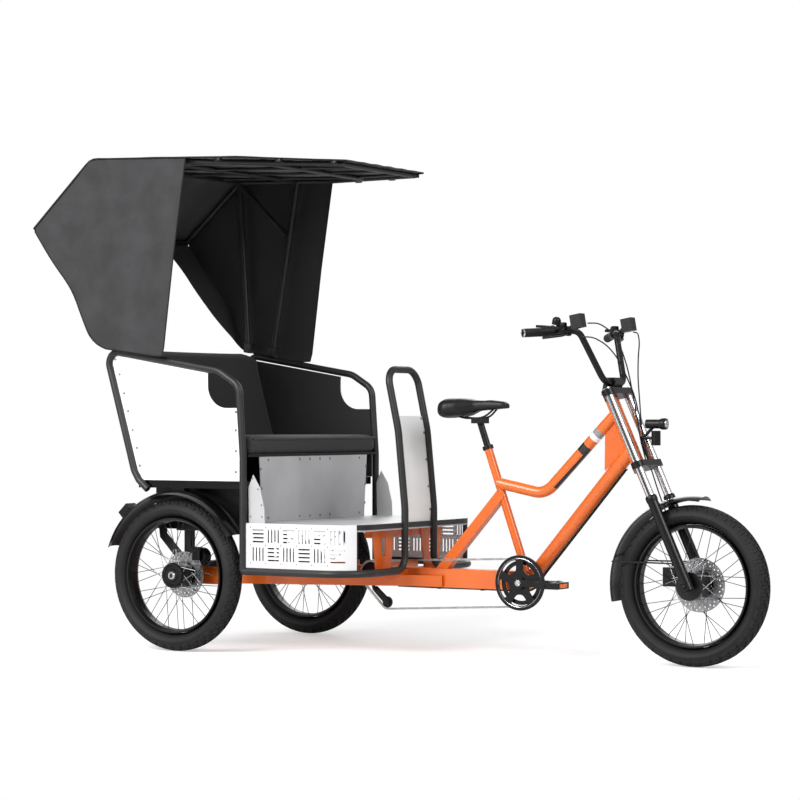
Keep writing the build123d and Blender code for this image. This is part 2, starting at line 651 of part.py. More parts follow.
rear_crown = 332
rear_fender = Pos(0, wheel_y, tyre_radius) * arched(rear_crown, 316, 56, 30, 161)
hanger = block((-30, 30), (cushion_half - 40, cushion_half), (tyre_radius + rear_crown - sheet - 2, tray_bottom))
nodes["rear_fenders"] = both(rear_fender + (hanger - Pos(0, wheel_y, tyre_radius) * disc(rear_crown - sheet, -80, 80)))
lamp_angle = math.radians(134)
lamp_r = rear_crown + 12
lamp = Pos(lamp_r * math.cos(lamp_angle), wheel_y, tyre_radius + lamp_r * math.sin(lamp_angle)) * Rot(0, -44, 0) * Box(52, 60, 30)
nodes["tail_lamps"] = both(lamp - rear_fender - Pos(0, wheel_y, tyre_radius) * disc(rear_crown - 2, -80, 80))
front_fender = front_place * arched(330, 314, 54, 82, 192)
lug_height = 592
lug_at = leg_point(lug_height)
fender_lug = Pos(lug_at[0], 0, lug_at[1]) * disc(8, 42, leg_y - lower_leg_radius - seat_gap)
front_fender += both(fender_lug - front_place * disc(tyre_radius + 14, -60, 60))
stay_angle = math.radians(165)
stay_rise = tyre_radius + 322 * math.sin(stay_angle)
leg_behind = leg_point(stay_rise)[0] - (lower_leg_radius + seat_gap + 1) / cos_rake
fender_stay = rod((wheelbase + 318 * math.cos(stay_angle), 52, stay_rise), (leg_behind, leg_y, stay_rise), 3)
nodes["front_fender"] = front_fender + both(fender_stay)

# ---------------------------------------------------------------- fork and handlebar
def leg_pair(low, high, radius):
    start = leg_point(low)
    end = leg_point(high)
    return both(rod((start[0], leg_y, start[1]), (end[0], leg_y, end[1]), radius))


def crown(leg_height):
    """A clamp plate square to the steering axis that holds both legs and the steerer."""
    x, z = steer_point(leg_height)
    plane = Plane(origin=(x, 0, z), x_dir=(cos_rake, 0, sin_rake), z_dir=(-sin_rake, 0, cos_rake))
    plan = make_hull([*Circle(26).edges(), *(Pos(crown_offset, leg_y) * Circle(24)).edges(),
                      *(Pos(crown_offset, -leg_y) * Circle(24)).edges()])
    return extrude(plane * plan, amount=crown_thick / 2, both=True)


stanchions = leg_pair(lower_leg_top - 30, upper_crown_height + 16, stanchion_radius)
lowers = leg_pair(tyre_radius - 12, lower_leg_top, lower_leg_radius)
steerer_low = along_steer(steer_point(lower_crown_height), -8)
steerer_high = along_steer(steer_point(upper_crown_height), 12)
steerer = rod((steerer_low[0], 0, steerer_low[1]), (steerer_high[0], 0, steerer_high[1]), steerer_radius)
crowns = Part() + [crown(upper_crown_height), crown(lower_crown_height), steerer]
nodes["fork_crowns"] = crowns - stanchions
dropout = both(Pos(wheelbase, 0, tyre_radius) * disc(16, leg_y - lower_leg_radius, leg_y + 14))
front_axle = Pos(wheelbase, 0, tyre_radius) * disc(front_axle_radius, -leg_y - 16, leg_y + 16)
nodes["fork_legs"] = Part() + [stanchions, lowers, dropout, front_axle]

def on_crown(forward, up=0):
    """A point (x, z) forward of the steering axis and above the upper crown."""
    return (crown_top[0] + forward * cos_rake - up * sin_rake, crown_top[1] + forward * sin_rake + up * cos_rake)


crown_top = along_steer(steer_point(upper_crown_height), crown_thick / 2)
bar_radius = 12
bar_steps = (               # forward of the crown's top, to the side, above it
    (21, 0, 39),
    (21, 80, 39),
    (-48, 155, 230),
    (-177, 340, 218),
)
bar_points = [(crown_top[0] + forward, side, crown_top[1] + up) for forward, side, up in bar_steps]
bar_x, bar_z = bar_points[0][0], bar_points[0][2]
half_bar = bent_bar(bar_points, [50, 40], bar_radius)
end_point = Vector(*bar_points[3])
grip_line = (end_point - Vector(*bar_points[2])).normalized()
bore_depth = 40
bar_bore_radius = 9
bore = rod(tuple(end_point - grip_line * bore_depth), tuple(end_point + grip_line * 10), bar_bore_radius)
bar = both(half_bar - bore)
stem_half = 34
stem = side_plate([on_crown(-18, seat_gap), on_crown(36, seat_gap), (bar_x + 22, bar_z + 2), (bar_x + 14, bar_z + 20),
                   (bar_x - 20, bar_z + 20), (bar_x - 30, bar_z - 6)], -stem_half, stem_half)
nodes["handlebar"] = bar
nodes["stem"] = stem - Part(bar.wrapped)
grip_length = 125
grip = rod(tuple(end_point - grip_line * grip_length), tuple(end_point + grip_line * 2), 16)
grip -= rod(tuple(end_point - grip_line * 200), tuple(end_point + grip_line * 10), bar_radius)
nodes["grips"] = both(grip)

# ---------------------------------------------------------------- drive
crank_inner = 73            # crank arms, from the middle plane
crank_outer = 89
pedal_gap = 6
pedal_width = 92
spindle_radius = 6
guard_y = (-crank_inner, -crank_inner + 4)
ring_y = (chain_y - 1.5, chain_y + 1.5)


def crank_arm(direction, y_low, y_high):
    arm = block((0, crank_length * direction) if direction > 0 else (crank_length * direction, 0), (y_low, y_high), (-13, 13))
    return arm + Pos(crank_length * direction, 0, 0) * disc(15, y_low, y_high) + disc(20, y_low, y_high)


guard = ring(guard_radius - 14, guard_radius, *guard_y)
chainring = ring(ring_radius - 16, ring_radius, *ring_y)
arm_count = 5
first_arm_turn = 54
for number in range(arm_count):
    turn = Rot(0, 360 / arm_count * number + first_arm_turn, 0)
    guard += turn * block((10, guard_radius - 6), guard_y, (-9, 9))
    chainring += turn * block((10, ring_radius - 8), ring_y, (-8, 8))
spider = disc(24, -crank_outer, ring_y[1])
axle = disc(crank_axle_radius, -crank_outer + 1, crank_outer - 1)
spindle = disc(spindle_radius, crank_outer - 4, crank_outer + pedal_gap + pedal_width - 2)
crank = Part() + [guard, chainring, spider, axle, crank_arm(1, -crank_outer, -crank_inner),
                  crank_arm(-1, crank_inner, crank_outer), Pos(-crank_length, 0, 0) * spindle,
                  Pos(crank_length, 0, 0) * mirrored(spindle)]
nodes["crankset"] = Pos(*bb) * crank


def pedal():
    """A cage pedal drawn for the left side, its inner face at Y = 0."""
    cage = block((-48, 48), (0, pedal_width), (-12, 12)) - block((-36, 36), (12, pedal_width - 12), (-20, 20))
    barrel = disc(11, 0, pedal_width)
    return cage + barrel - disc(spindle_radius + pin_gap, -5, pedal_width + 5)


left_pedal = Pos(0, crank_outer + pedal_gap, 0) * pedal()
nodes["pedal_left"] = Pos(bb_x - crank_length, 0, bb_z) * left_pedal
nodes["pedal_right"] = Pos(bb_x + crank_length, 0, bb_z) * mirrored(left_pedal)

# chain: one closed band round the chainring, the cassette and the lower tension wheel
def chain_band(grow):
    """The face inside the chain's run, with every wheel's radius grown."""
    wheels = ((bb_x, bb_z, ring_radius + chain_clear), (*cassette, cassette_radius + seat_gap),
              (*jockey, jockey_radius + seat_gap))
    rims = [Pos(x, z) * Circle(radius + grow) for x, z, radius in wheels]
    return make_hull([edge for rim in rims for edge in rim.edges()])


def in_chain_plane(face, y_low, y_high):
    """A face drawn as (x, z), made a solid between two planes along Y."""
    return Pos(0, y_high, 0) * extrude(Plane.XZ * face, amount=y_high - y_low)


nodes["chain"] = in_chain_plane(chain_band(chain_high) - chain_band(0), chain_y - chain_width / 2,
                                chain_y + chain_width / 2)

sprocket_steps = 5
shaft_radius = 9
cassette_solid = disc(shaft_radius, chain_y - 12, -beam_half - seat_gap)
for number in range(sprocket_steps):
    low = chain_y - 1.5 + number * 5
    cassette_solid += disc(cassette_radius - number * 4, low, low + 3)
cassette_solid += disc(20, chain_y - 1.5, -beam_half - seat_gap)
tension_pivot = (cassette[0] + 18, cassette[1] - 58)
cage_y = chain_width / 2 + 1
cage_face = make_hull([*(Pos(*tension_pivot) * Circle(10)).edges(), *(Pos(*jockey) * Circle(12)).edges()])
cages = [in_chain_plane(cage_face, chain_y + side - 1.2, chain_y + side + 1.2) for side in (-cage_y - 1.2, cage_y + 1.2)]
hanger_bar = rod((cassette[0], chain_y - 10, cassette[1]), (tension_pivot[0], chain_y - 10, tension_pivot[1]), 7)
pivot_pin = Pos(tension_pivot[0], 0, tension_pivot[1]) * disc(6, chain_y - 14, chain_y + cage_y + 2.4)
jockey_wheel = Pos(jockey[0], 0, jockey[1]) * (disc(jockey_radius, chain_y - 2, chain_y + 2) + disc(5, chain_y - 8, chain_y + 8))
nodes["chain_tensioner"] = Part() + [Pos(cassette[0], 0, cassette[1]) * cassette_solid, *cages, hanger_bar, pivot_pin,
                                     jockey_wheel]

# ---------------------------------------------------------------- lamp, horn and brakes
def on_lower_crown(forward, up=0):
    """A point (x, z) forward of the steering axis and above the lower crown."""
    x, z = along_steer(steer_point(lower_crown_height), crown_thick / 2 + up)
    return (x + forward * cos_rake, z + forward * sin_rake)


lamp_rear = on_lower_crown(93, 125)
lamp_length = 80
lamp_radius = 20
lamp_head = 22
horn_middle = on_lower_crown(106, 62)
horn_half = 27
horn_radius = 17
lamp_foot = on_lower_crown(47, seat_gap)
lamp_body = rod((lamp_rear[0], 0, lamp_rear[1]), (lamp_rear[0] + lamp_length, 0, lamp_rear[1]), lamp_radius - 3)
lamp_lens = rod((lamp_rear[0] + lamp_length - lamp_head, 0, lamp_rear[1]),
                (lamp_rear[0] + lamp_length, 0, lamp_rear[1]), lamp_radius)
horn = rod((horn_middle[0], 0, horn_middle[1] - horn_half), (horn_middle[0], 0, horn_middle[1] + horn_half), horn_radius)
lamp_knee = on_lower_crown(47, 80)
lamp_bracket = bent_bar([(lamp_foot[0], 0, lamp_foot[1]), (lamp_knee[0], 0, lamp_knee[1]),
                         (lamp_rear[0] + 30, 0, lamp_rear[1] - 8)], [20], 6)
horn_arm = rod((lamp_knee[0], 0, horn_middle[1]), (horn_middle[0] - horn_radius + 4, 0, horn_middle[1]), 6)
nodes["headlamp"] = Part() + [lamp_body, lamp_lens, horn, horn_arm, lamp_bracket]

rotor_mid = front_rotor_y + rotor_thick / 2
caliper_x = (wheelbase - 140, wheelbase - front_rotor_radius + 10)
front_caliper = block(caliper_x, (rotor_mid - 20, rotor_mid + 20), (tyre_radius - 8, tyre_radius + 62))
front_caliper -= block((wheelbase - front_rotor_radius - 5, wheelbase), (rotor_mid - 5, rotor_mid + 5), (0, far))
caliper_arm = block((caliper_x[1] - 10, wheelbase - 5), (rotor_mid + 8, rotor_mid + 16), (tyre_radius + 15, tyre_radius + 45))
nodes["fork_legs"] = nodes["fork_legs"] + [front_caliper, caliper_arm]

rear_rotor_y = wheel_y + hub_in - 14 + rotor_thick / 2
pot = Pos(60, 0, tyre_radius + 71) * disc(34, rear_rotor_y - 46, rear_rotor_y - 6)
pad_arm = block((42, 78), (rear_rotor_y - 10, rear_rotor_y + 10), (tyre_radius + 57, tyre_radius + 109))
pad_arm -= block((0, far), (rear_rotor_y - 5, rear_rotor_y + 5), (0, tyre_radius + 97))
foot_z = (beam_top + seat_gap, beam_top + 22)
caliper_foot = block((66, axle_beam_front), (axle_beam_half - 24, rear_rotor_y - 20), foot_z)
nodes["rear_calipers"] = both(Part() + [pot, pad_arm, caliper_foot])

# ---------------------------------------------------------------- handlebar controls
bend_point = Vector(*bar_points[2])


def on_bar(distance, forward=0, up=0):
    """A point along the grip end of the bar, counted from the bend."""
    point = bend_point + grip_line * distance
    return (point.X + forward, point.Y, point.Z + up)


def bar_clamp(start, length):
    ring_solid = rod(on_bar(start), on_bar(start + length), bar_radius + 5)
    return ring_solid - rod(on_bar(start - 5), on_bar(start + length + 5), bar_radius + seat_gap)


box_size = 50
box_middle = on_bar(66, 62, 36)
control_box = Pos(*box_middle) * Rot(0, -10, 0) * Box(44, 40, box_size)
box_arm = rod(on_bar(60, bar_radius + 2, 2), box_middle, 8)
lever_pivot = on_bar(86, bar_radius + 26, -8)
lever_perch = rod(on_bar(88, bar_radius + 2, 0), lever_pivot, 9)
lever_blade = bent_bar([lever_pivot, on_bar(112, bar_radius + 34, -14), on_bar(186, bar_radius + 26, -20)], [40], 5)
clamps = [bar_clamp(50, 22), bar_clamp(80, 14)]
controls = Part() + [control_box, box_arm, lever_perch, lever_blade, *clamps]
controls -= rod(on_bar(8), on_bar(130), bar_radius + seat_gap)
bell = Pos(*on_bar(84, -8, 34)) * Rot(0, 12, 0) * Cylinder(16, 20)
bell_stalk = rod(on_bar(84, 0, bar_radius + 3), on_bar(84, -6, 28), 6)
nodes["bar_controls"] = both(controls) + mirrored(bell + bell_stalk)

# ---------------------------------------------------------------- cables
cable_radius = 2.5
tube_clear = down_tube_radius + cable_radius + 1
down_run = (down_high[0] - bb_x, down_high[1] - bb_z)
down_length = math.hypot(*down_run)
down_unit = (down_run[0] / down_length, down_run[1] / down_length)


def under_down_tube(distance):
    """A point (x, z) just below the down tube, counted from the bottom bracket."""
    return (bb_x + down_unit[0] * distance + down_unit[1] * tube_clear,
            bb_z + down_unit[1] * distance - down_unit[0] * tube_clear)


def cable(points):
    """A cable whose arcs are as large as the runs beside them allow."""
    bends = []
    for before, corner, after in zip(points, points[1:], points[2:]):
        run_in = Vector(*corner) - Vector(*before)
        run_out = Vector(*after) - Vector(*corner)
        half_turn = math.radians(run_in.get_angle(run_out)) / 2
        bends.append(0.45 * min(run_in.length, run_out.length) / math.tan(half_turn))
    return bent_bar(points, bends, cable_radius)


beam_clear = beam_bottom - cable_radius - 1
clip_places = (bb_x - 396, bb_x - 205)
cable_high = under_down_tube(down_length - 70)
cable_mid = under_down_tube(190)
cable_low = under_down_tube(60)
frame_cables = [cable([
    (cable_high[0], y, cable_high[1]), (cable_mid[0], y, cable_mid[1] - 1), (cable_low[0], y, cable_low[1]),
    (bb_x + 16, y, beam_clear - 2), (bb_x - 90, y, beam_clear - 1), (clip_places[1], y, beam_clear),
    (clip_places[0], y, beam_clear - 1), (clip_places[0] - 180, y, beam_clear)]) for y in (-7, 7)]
clips = [block((x, x + 12), (-12, 12), (beam_bottom - 8, beam_bottom - seat_gap)) for x in clip_places]
nodes["frame_cables"] = Part() + frame_cables + clips

crown_drop = (upper_crown_height - lower_crown_height) / cos_rake
cable_routes = (            # forward of the steering axis, to the side, above the upper crown
    ((118, -206, 226), (146, -178, 214), (160, -132, 176), (148, -78, 116), (122, -36, 40),
     (96, -18, -40), (72, -11, -130), (50, -10, -210), (39, -10, 1 - crown_drop)),
    ((96, 206, 214), (124, 176, 196), (136, 128, 150), (128, 80, 90), (110, 44, 10),
     (92, 24, -70), (68, 14, -150), (48, 11, -220), (39, 10, 1 - crown_drop)),
    ((78, -212, 190), (106, -180, 176), (122, -132, 140), (122, -84, 88), (108, -40, 20),
     (90, 4, -50), (66, 17, -140), (47, 21, -215), (38, 22, 1 - crown_drop)),
)
steering_cables = []
for route in cable_routes:
    places = [(on_crown(forward, up), side) for forward, side, up in route]
    steering_cables.append(cable([(x, side, z) for (x, z), side in places]))
hose = ((20, 48, -316), (6, 60, -410), (0, 66, -510), (-22, 66, -600), (-56, 60, -677))
hose_places = [(on_crown(forward, up), side) for forward, side, up in hose]
steering_cables.append(cable([(x, side, z) for (x, z), side in hose_places]))
nodes["steering_cables"] = Part() + steering_cables

os.makedirs("parts", exist_ok=True)
shift = Pos(-middle_x, 0, 0)
for name, piece in nodes.items():
    export_step(shift * piece, f"parts/{name}.step")
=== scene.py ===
import math

import bmesh
import bpy
from mathutils import Matrix, Vector
from mathutils.geometry import convex_hull_2d


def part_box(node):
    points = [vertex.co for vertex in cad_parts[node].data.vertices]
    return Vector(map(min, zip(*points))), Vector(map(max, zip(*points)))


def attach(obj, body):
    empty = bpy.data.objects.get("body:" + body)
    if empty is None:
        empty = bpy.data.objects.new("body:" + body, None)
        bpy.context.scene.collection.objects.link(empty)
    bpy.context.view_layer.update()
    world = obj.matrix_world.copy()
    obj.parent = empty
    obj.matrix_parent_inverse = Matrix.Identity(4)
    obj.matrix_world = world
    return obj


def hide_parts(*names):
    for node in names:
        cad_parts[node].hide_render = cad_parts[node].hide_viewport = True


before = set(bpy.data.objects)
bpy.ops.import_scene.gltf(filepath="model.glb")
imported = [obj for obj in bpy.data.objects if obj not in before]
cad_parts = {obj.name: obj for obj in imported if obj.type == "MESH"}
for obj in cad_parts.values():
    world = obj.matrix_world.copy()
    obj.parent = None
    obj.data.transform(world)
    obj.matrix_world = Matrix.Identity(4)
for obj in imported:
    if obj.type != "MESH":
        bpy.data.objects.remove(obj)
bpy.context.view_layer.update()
scene = bpy.context.scene
scene.view_settings.view_transform = "Standard"

# ------------------------------------------------------------------ camera
# A long lens at saddle height, ahead and to the right, looks back along the vehicle. It stands far off, so
# that the near and the far wheels come out almost the same size.


def place_object(name, data):
    """A new object on the scene, at the origin."""
    made = bpy.data.objects.new(name, data)
    scene.collection.objects.link(made)
    return made


camera_place = Vector((4.96499, -8.26434, 0.89868))
turn_left = math.radians(31.3476)
tip_up = math.radians(0.4671)
camera_data = bpy.data.cameras.new("camera")
camera_data.sensor_width = 36
camera_data.lens = 111.43
camera = place_object("camera", camera_data)
camera.matrix_world = (Matrix.Translation(camera_place) @ Matrix.Rotation(turn_left, 4, "Z")
                       @ Matrix.Rotation(math.radians(90) + tip_up, 4, "X"))
scene.camera = camera

# ------------------------------------------------------------------ studio
# A plain white floor that fades into a white surround, and three large soft lamps. What only the camera sees
# is lifted to white by Light Path, so the lamps stay at a plain level.


def to_linear(hex_colour):
    """An sRGB hex colour as linear red, green, blue and alpha."""
    parts = [int(hex_colour[place:place + 2], 16) / 255 for place in (1, 3, 5)]
    return [p / 12.92 if p <= 0.04045 else ((p + 0.055) / 1.055) ** 2.4 for p in parts] + [1]


def add_node(material, kind, settings=None, links=None):
    """Adds a node: settings name its sockets or attributes, links feed its sockets from (node, output)."""
    made = material.node_tree.nodes.new(kind)
    for name, value in (settings or {}).items():
        if isinstance(name, int) or name in made.inputs:
            made.inputs[name].default_value = value
        else:
            setattr(made, name, value)
    for socket, (source, output) in (links or {}).items():
        material.node_tree.links.new(source.outputs[output], made.inputs[socket])
    return made


def new_material(name):
    """A material with a node tree."""
    material = bpy.data.materials.new(name)
    material.use_nodes = True
    return material


def shader_of(material):
    """The one Principled shader of a material."""
    return material.node_tree.nodes["Principled BSDF"]


def set_shader(material, values):
    """Sets sockets of the material's shader that nothing feeds."""
    for socket, value in values.items():
        shader_of(material).inputs[socket].default_value = value


def feed(material, socket, source, output):
    """Links a node's output to a socket of the material's shader."""
    material.node_tree.links.new(source.outputs[output], shader_of(material).inputs[socket])


floor_half = 30
floor_drop = 0.0005         # below the tyres, in metres
floor_glow = 0.42           # for camera rays alone
fade_from, fade_to = 1.6, 3.2       # metres from the middle, where the floor turns into white
bpy.ops.object.select_all(action="DESELECT")
bpy.ops.mesh.primitive_plane_add(size=2 * floor_half, location=(0, 0, -floor_drop))
floor = bpy.context.active_object
floor.name = "floor"
floor_paint = new_material("matt_white_floor_paint")
set_shader(floor_paint, {"Base Color": to_linear("#E6E6E6"), "Roughness": 0.9, "Specular IOR Level": 0.1,
                         "Emission Color": (1, 1, 1, 1)})
rays = add_node(floor_paint, "ShaderNodeLightPath")
floor_lift = add_node(floor_paint, "ShaderNodeMath", {"operation": "MULTIPLY", 1: floor_glow},
                      {0: (rays, "Is Camera Ray")})
feed(floor_paint, "Emission Strength", floor_lift, "Value")
floor_places = add_node(floor_paint, "ShaderNodeTexCoord")
floor_reach = add_node(floor_paint, "ShaderNodeVectorMath", {"operation": "LENGTH"},
                       {0: (floor_places, "Object")})
fade = add_node(floor_paint, "ShaderNodeMapRange", {"From Min": fade_from, "From Max": fade_to},
                {"Value": (floor_reach, "Value")})
fade.interpolation_type = "SMOOTHSTEP"
fade_seen = add_node(floor_paint, "ShaderNodeMath", {"operation": "MULTIPLY"},
                     {0: (fade, "Result"), 1: (rays, "Is Camera Ray")})
far_white = add_node(floor_paint, "ShaderNodeEmission", {"Strength": 1.0})
floor_mix = add_node(floor_paint, "ShaderNodeMixShader", {},
                     {"Fac": (fade_seen, "Value"), 1: (shader_of(floor_paint), "BSDF"),
                      2: (far_white, "Emission")})
floor_paint.node_tree.links.new(floor_mix.outputs["Shader"],
                                floor_paint.node_tree.nodes["Material Output"].inputs["Surface"])
floor.data.materials.append(floor_paint)

world = bpy.data.worlds.new("pale_surround")
scene.world = world
world.use_nodes = True
surround = world.node_tree.nodes["Background"]
surround.inputs["Color"].default_value = (1, 1, 1, 1)
world_rays = add_node(world, "ShaderNodeLightPath")
seen = add_node(world, "ShaderNodeMath", {"operation": "MAXIMUM"},
                {0: (world_rays, "Is Camera Ray"), 1: (world_rays, "Is Transmission Ray")})
surround_level = 0.30       # on matt surfaces
reflected_level = 0.55      # in reflections
unseen = add_node(world, "ShaderNodeMapRange", {"To Min": surround_level, "To Max": reflected_level},
                  {"Value": (world_rays, "Is Glossy Ray")})
level = add_node(world, "ShaderNodeMixRGB", {"Color2": (1, 1, 1, 1)},
                 {"Fac": (seen, "Value"), "Color1": (unseen, "Result")})
world.node_tree.links.new(level.outputs["Color"], surround.inputs["Strength"])

lamps = (                   # name, place, aim, size, power in watts
    ("key_lamp", (-1.5, -6.0, 4.2), (-0.3, 0, 0.9), 4.0, 560),
    ("front_lamp", (6.0, -1.5, 4.5), (0.3, 0, 0.8), 3.0, 230),
    ("far_lamp", (-2.0, 6.0, 3.5), (0, 0, 0.8), 4.0, 130),
)
for lamp_name, place, aim, size, power in lamps:
    lamp_data = bpy.data.lights.new(lamp_name, "AREA")
    lamp_data.size = size
    lamp_data.energy = power
    lamp = place_object(lamp_name, lamp_data)
    lamp.location = place
    lamp.rotation_euler = (Vector(aim) - Vector(place)).to_track_quat("-Z", "Y").to_euler()

# A black flag beside the camera, seen only in reflections, gives bright metal its dark stripe.
bpy.ops.mesh.primitive_plane_add(size=1, location=(1.0, -4.4, 1.6),
                                 rotation=(math.radians(90), 0, math.radians(-4)))
flag = bpy.context.active_object
flag.name = "flag"
flag_wide, flag_high = 2.5, 3.6
for vertex in flag.data.vertices:
    vertex.co.x *= flag_wide
    vertex.co.y *= flag_high
flag_cloth = new_material("black_flag_cloth")
set_shader(flag_cloth, {"Base Color": (0.003, 0.003, 0.003, 1)})
flag.data.materials.append(flag_cloth)
flag.visible_camera = False
flag.visible_diffuse = False
flag.visible_shadow = False
flag.visible_transmission = False

# ------------------------------------------------------------------ frame tubes
# Steel tubes and box beams, welded to one frame and sprayed with a gloss orange enamel that dries with a
# slight ripple. The cabin's tubes, the metal fittings and the plastics get their own coats here, as they
# share one recipe.


def finish_cad(names, material):
    """Gives CAD nodes their finish."""
    for name in names:
        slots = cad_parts[name].data.materials
        slots.clear()
        slots.append(material)


def set_ramp(ramp, stops):
    """Gives a colour ramp its (place, colour) stops."""
    elements = ramp.color_ramp.elements
    while len(elements) < len(stops):
        elements.new(0.99)
    for element, (place, colour) in zip(elements, stops):
        element.position = place
        element.color = to_linear(colour)


def coating(name, light, dark, patch_mm, roughness, grain_mm, grain_depth_mm, metallic=0.0, reflects=0.5):
    """A sprayed or moulded surface: two close colours in soft patches, with a grain in gloss and relief."""
    material = new_material(name)
    places = add_node(material, "ShaderNodeTexCoord")
    patches = add_node(material, "ShaderNodeTexNoise", {"Scale": 1000 / patch_mm, "Detail": 3.0},
                       {"Vector": (places, "Object")})
    colours = add_node(material, "ShaderNodeValToRGB", {}, {"Fac": (patches, "Fac")})
    colours.name = "coat colours"
    set_ramp(colours, ((0.35, dark), (0.65, light)))
    grain = add_node(material, "ShaderNodeTexNoise", {"Scale": 1000 / grain_mm, "Detail": 2.0},
                     {"Vector": (places, "Object")})
    gloss = add_node(material, "ShaderNodeMapRange", {"To Min": roughness * 0.85, "To Max": roughness * 1.15},
                     {"Value": (grain, "Fac")})
    relief = add_node(material, "ShaderNodeBump", {"Strength": 1.0, "Distance": grain_depth_mm / 1000},
                      {"Height": (grain, "Fac")})
    feed(material, "Base Color", colours, "Color")
    feed(material, "Roughness", gloss, "Result")
    feed(material, "Normal", relief, "Normal")
    set_shader(material, {"Metallic": metallic, "Specular IOR Level": reflects})
    return material


def distance_along(material, start, direction):
    """A node that gives how far each spot lies past a start, along a direction."""
    spots = add_node(material, "ShaderNodeTexCoord")
    shift = add_node(material, "ShaderNodeVectorMath", {"operation": "SUBTRACT", 1: start},
                     {0: (spots, "Object")})
    return add_node(material, "ShaderNodeVectorMath", {"operation": "DOT_PRODUCT", 1: direction},
                    {0: (shift, "Vector")})


def paint_over(material, mask, colour, under="coat colours"):
    """Lays a second colour over the first ones where the mask is one."""
    mix = add_node(material, "ShaderNodeMixRGB", {"Color2": to_linear(colour)},
                   {"Fac": (mask, "Value"), "Color1": (material.node_tree.nodes[under], "Color")})
    feed(material, "Base Color", mix, "Color")


enamel = ("#DE6716", "#D65F12", 260, 0.32, 3, 0.02)
orange_enamel = coating("gloss_orange_enamel", *enamel)
clear_coat = {"Coat Weight": 0.5, "Coat Roughness": 0.12}
set_shader(orange_enamel, clear_coat)
finish_cad(["main_beam", "under_frame", "bottom_bracket", "down_tube", "seat_tube",
            "rear_stay", "head_tube", "deck_brackets"], orange_enamel)

axle_paint = coating("orange_enamel_with_black_axle_ends", *enamel)
axle_black_from = 0.342     # metres from the middle of the beam
axle_across = distance_along(axle_paint, (0, 0, 0), (0, 1, 0))
axle_side = add_node(axle_paint, "ShaderNodeMath", {"operation": "ABSOLUTE"}, {0: (axle_across, "Value")})
axle_end = add_node(axle_paint, "ShaderNodeMath", {"operation": "GREATER_THAN", 1: axle_black_from},
                    {0: (axle_side, "Value")})
paint_over(axle_paint, axle_end, "#161617")
finish_cad(["rear_axle_beam"], axle_paint)

dark_coat = coating("satin_grey_powder_coat", "#262627", "#202021", 120, 0.42, 1.6, 0.03, reflects=0.4)
finish_cad(["deck_rail", "grab_loop", "side_frame_left", "side_frame_right", "canopy_frame", "seat_supports"],
           dark_coat)

black_metal = coating("satin_black_anodised_aluminium", "#0D0D0E", "#09090A", 60, 0.32, 1.2, 0.01,
                      reflects=0.3)
finish_cad(["seat_post", "fork_crowns", "handlebar", "stem", "crankset", "rear_calipers", "chain_tensioner",
            "seat_box", "seat_pan"], black_metal)

black_plastic = coating("moulded_black_plastic", "#0E0E0F", "#0A0A0B", 80, 0.36, 0.8, 0.03, reflects=0.3)
fender_plastic = coating("gloss_black_fender_plastic", "#0C0C0D", "#080809", 80, 0.2, 3.0, 0.01, reflects=0.4)
finish_cad(["rear_fenders", "front_fender", "seat_tray"], fender_plastic)
finish_cad(["bar_controls", "headlamp", "frame_cables", "steering_cables", "tail_lamps",
            "pedal_left", "pedal_right", "grips", "back_panel", "saddle"], black_plastic)

white_panel = coating("white_coated_aluminium_sheet", "#F6F6F6", "#EFEFEF", 400, 0.4, 2.2, 0.01)
finish_cad(["side_panel_left", "side_panel_right", "grab_panel"], white_panel)

mill_sheet = coating("brushed_aluminium_sheet", "#EEEEF0", "#E2E2E4", 150, 0.38, 1.0, 0.01, 0.3)
finish_cad(["deck_skirts"], mill_sheet)

# Painted shade: the deck, the seat front and the wing plates are pale sheet like the skirts, and this grey
# stands in for the shade that their faces show.
painted_shade_sheet = coating("sheet_with_painted_shade", "#C2C2C4", "#B8B8BA", 150, 0.42, 1.0, 0.01, 0.3)
finish_cad(["deck", "seat_front_panel", "wing_plates"], painted_shade_sheet)

# ------------------------------------------------------------------ top tube
# The bent steel top tube has the frame's enamel. Plain bands of black, white and grey and a dark underside
# are masked off and sprayed over it, so their edges are crisp.
tube_start = Vector((0.5735, 0, 0.620))       # the tube's axis at its bend
tube_run = Vector((230, 0, 228)).normalized()
tube_under = Vector((tube_run.z, 0, -tube_run.x))
strip_depth = 0.012         # the dark strip starts this far below the axis
strip_from, strip_to = 0.05, 0.252      # along the tube
band_places = (             # how far along the tube each colour begins, in metres, and its colour
    (0.000, "#DE6716"), (0.222, "#121212"), (0.256, "#DE6716"),
    (0.292, "#F2F2F2"), (0.310, "#8E8E90"), (0.334, "#DE6716"),
)
banded_enamel = coating("banded_orange_enamel", *enamel)
set_shader(banded_enamel, clear_coat)
band_along = distance_along(banded_enamel, tube_start, tube_run)
band_down = distance_along(banded_enamel, tube_start, tube_under)
band_ramp = add_node(banded_enamel, "ShaderNodeValToRGB", {}, {"Fac": (band_along, "Value")})
band_ramp.name = "band colours"
band_ramp.color_ramp.interpolation = "CONSTANT"
set_ramp(band_ramp, band_places)
under_side = add_node(banded_enamel, "ShaderNodeMath", {"operation": "GREATER_THAN", 1: strip_depth},
                      {0: (band_down, "Value")})
before_band = add_node(banded_enamel, "ShaderNodeMath", {"operation": "LESS_THAN", 1: strip_to},
                       {0: (band_along, "Value")})
after_bend = add_node(banded_enamel, "ShaderNodeMath", {"operation": "GREATER_THAN", 1: strip_from},
                      {0: (band_along, "Value")})
strip = add_node(banded_enamel, "ShaderNodeMath", {"operation": "MULTIPLY"},
                 {0: (under_side, "Value"), 1: (before_band, "Value")})
strip_end = add_node(banded_enamel, "ShaderNodeMath", {"operation": "MULTIPLY"},
                     {0: (strip, "Value"), 1: (after_bend, "Value")})
paint_over(banded_enamel, strip_end, "#121212", under="band colours")
finish_cad(["top_tube"], banded_enamel)

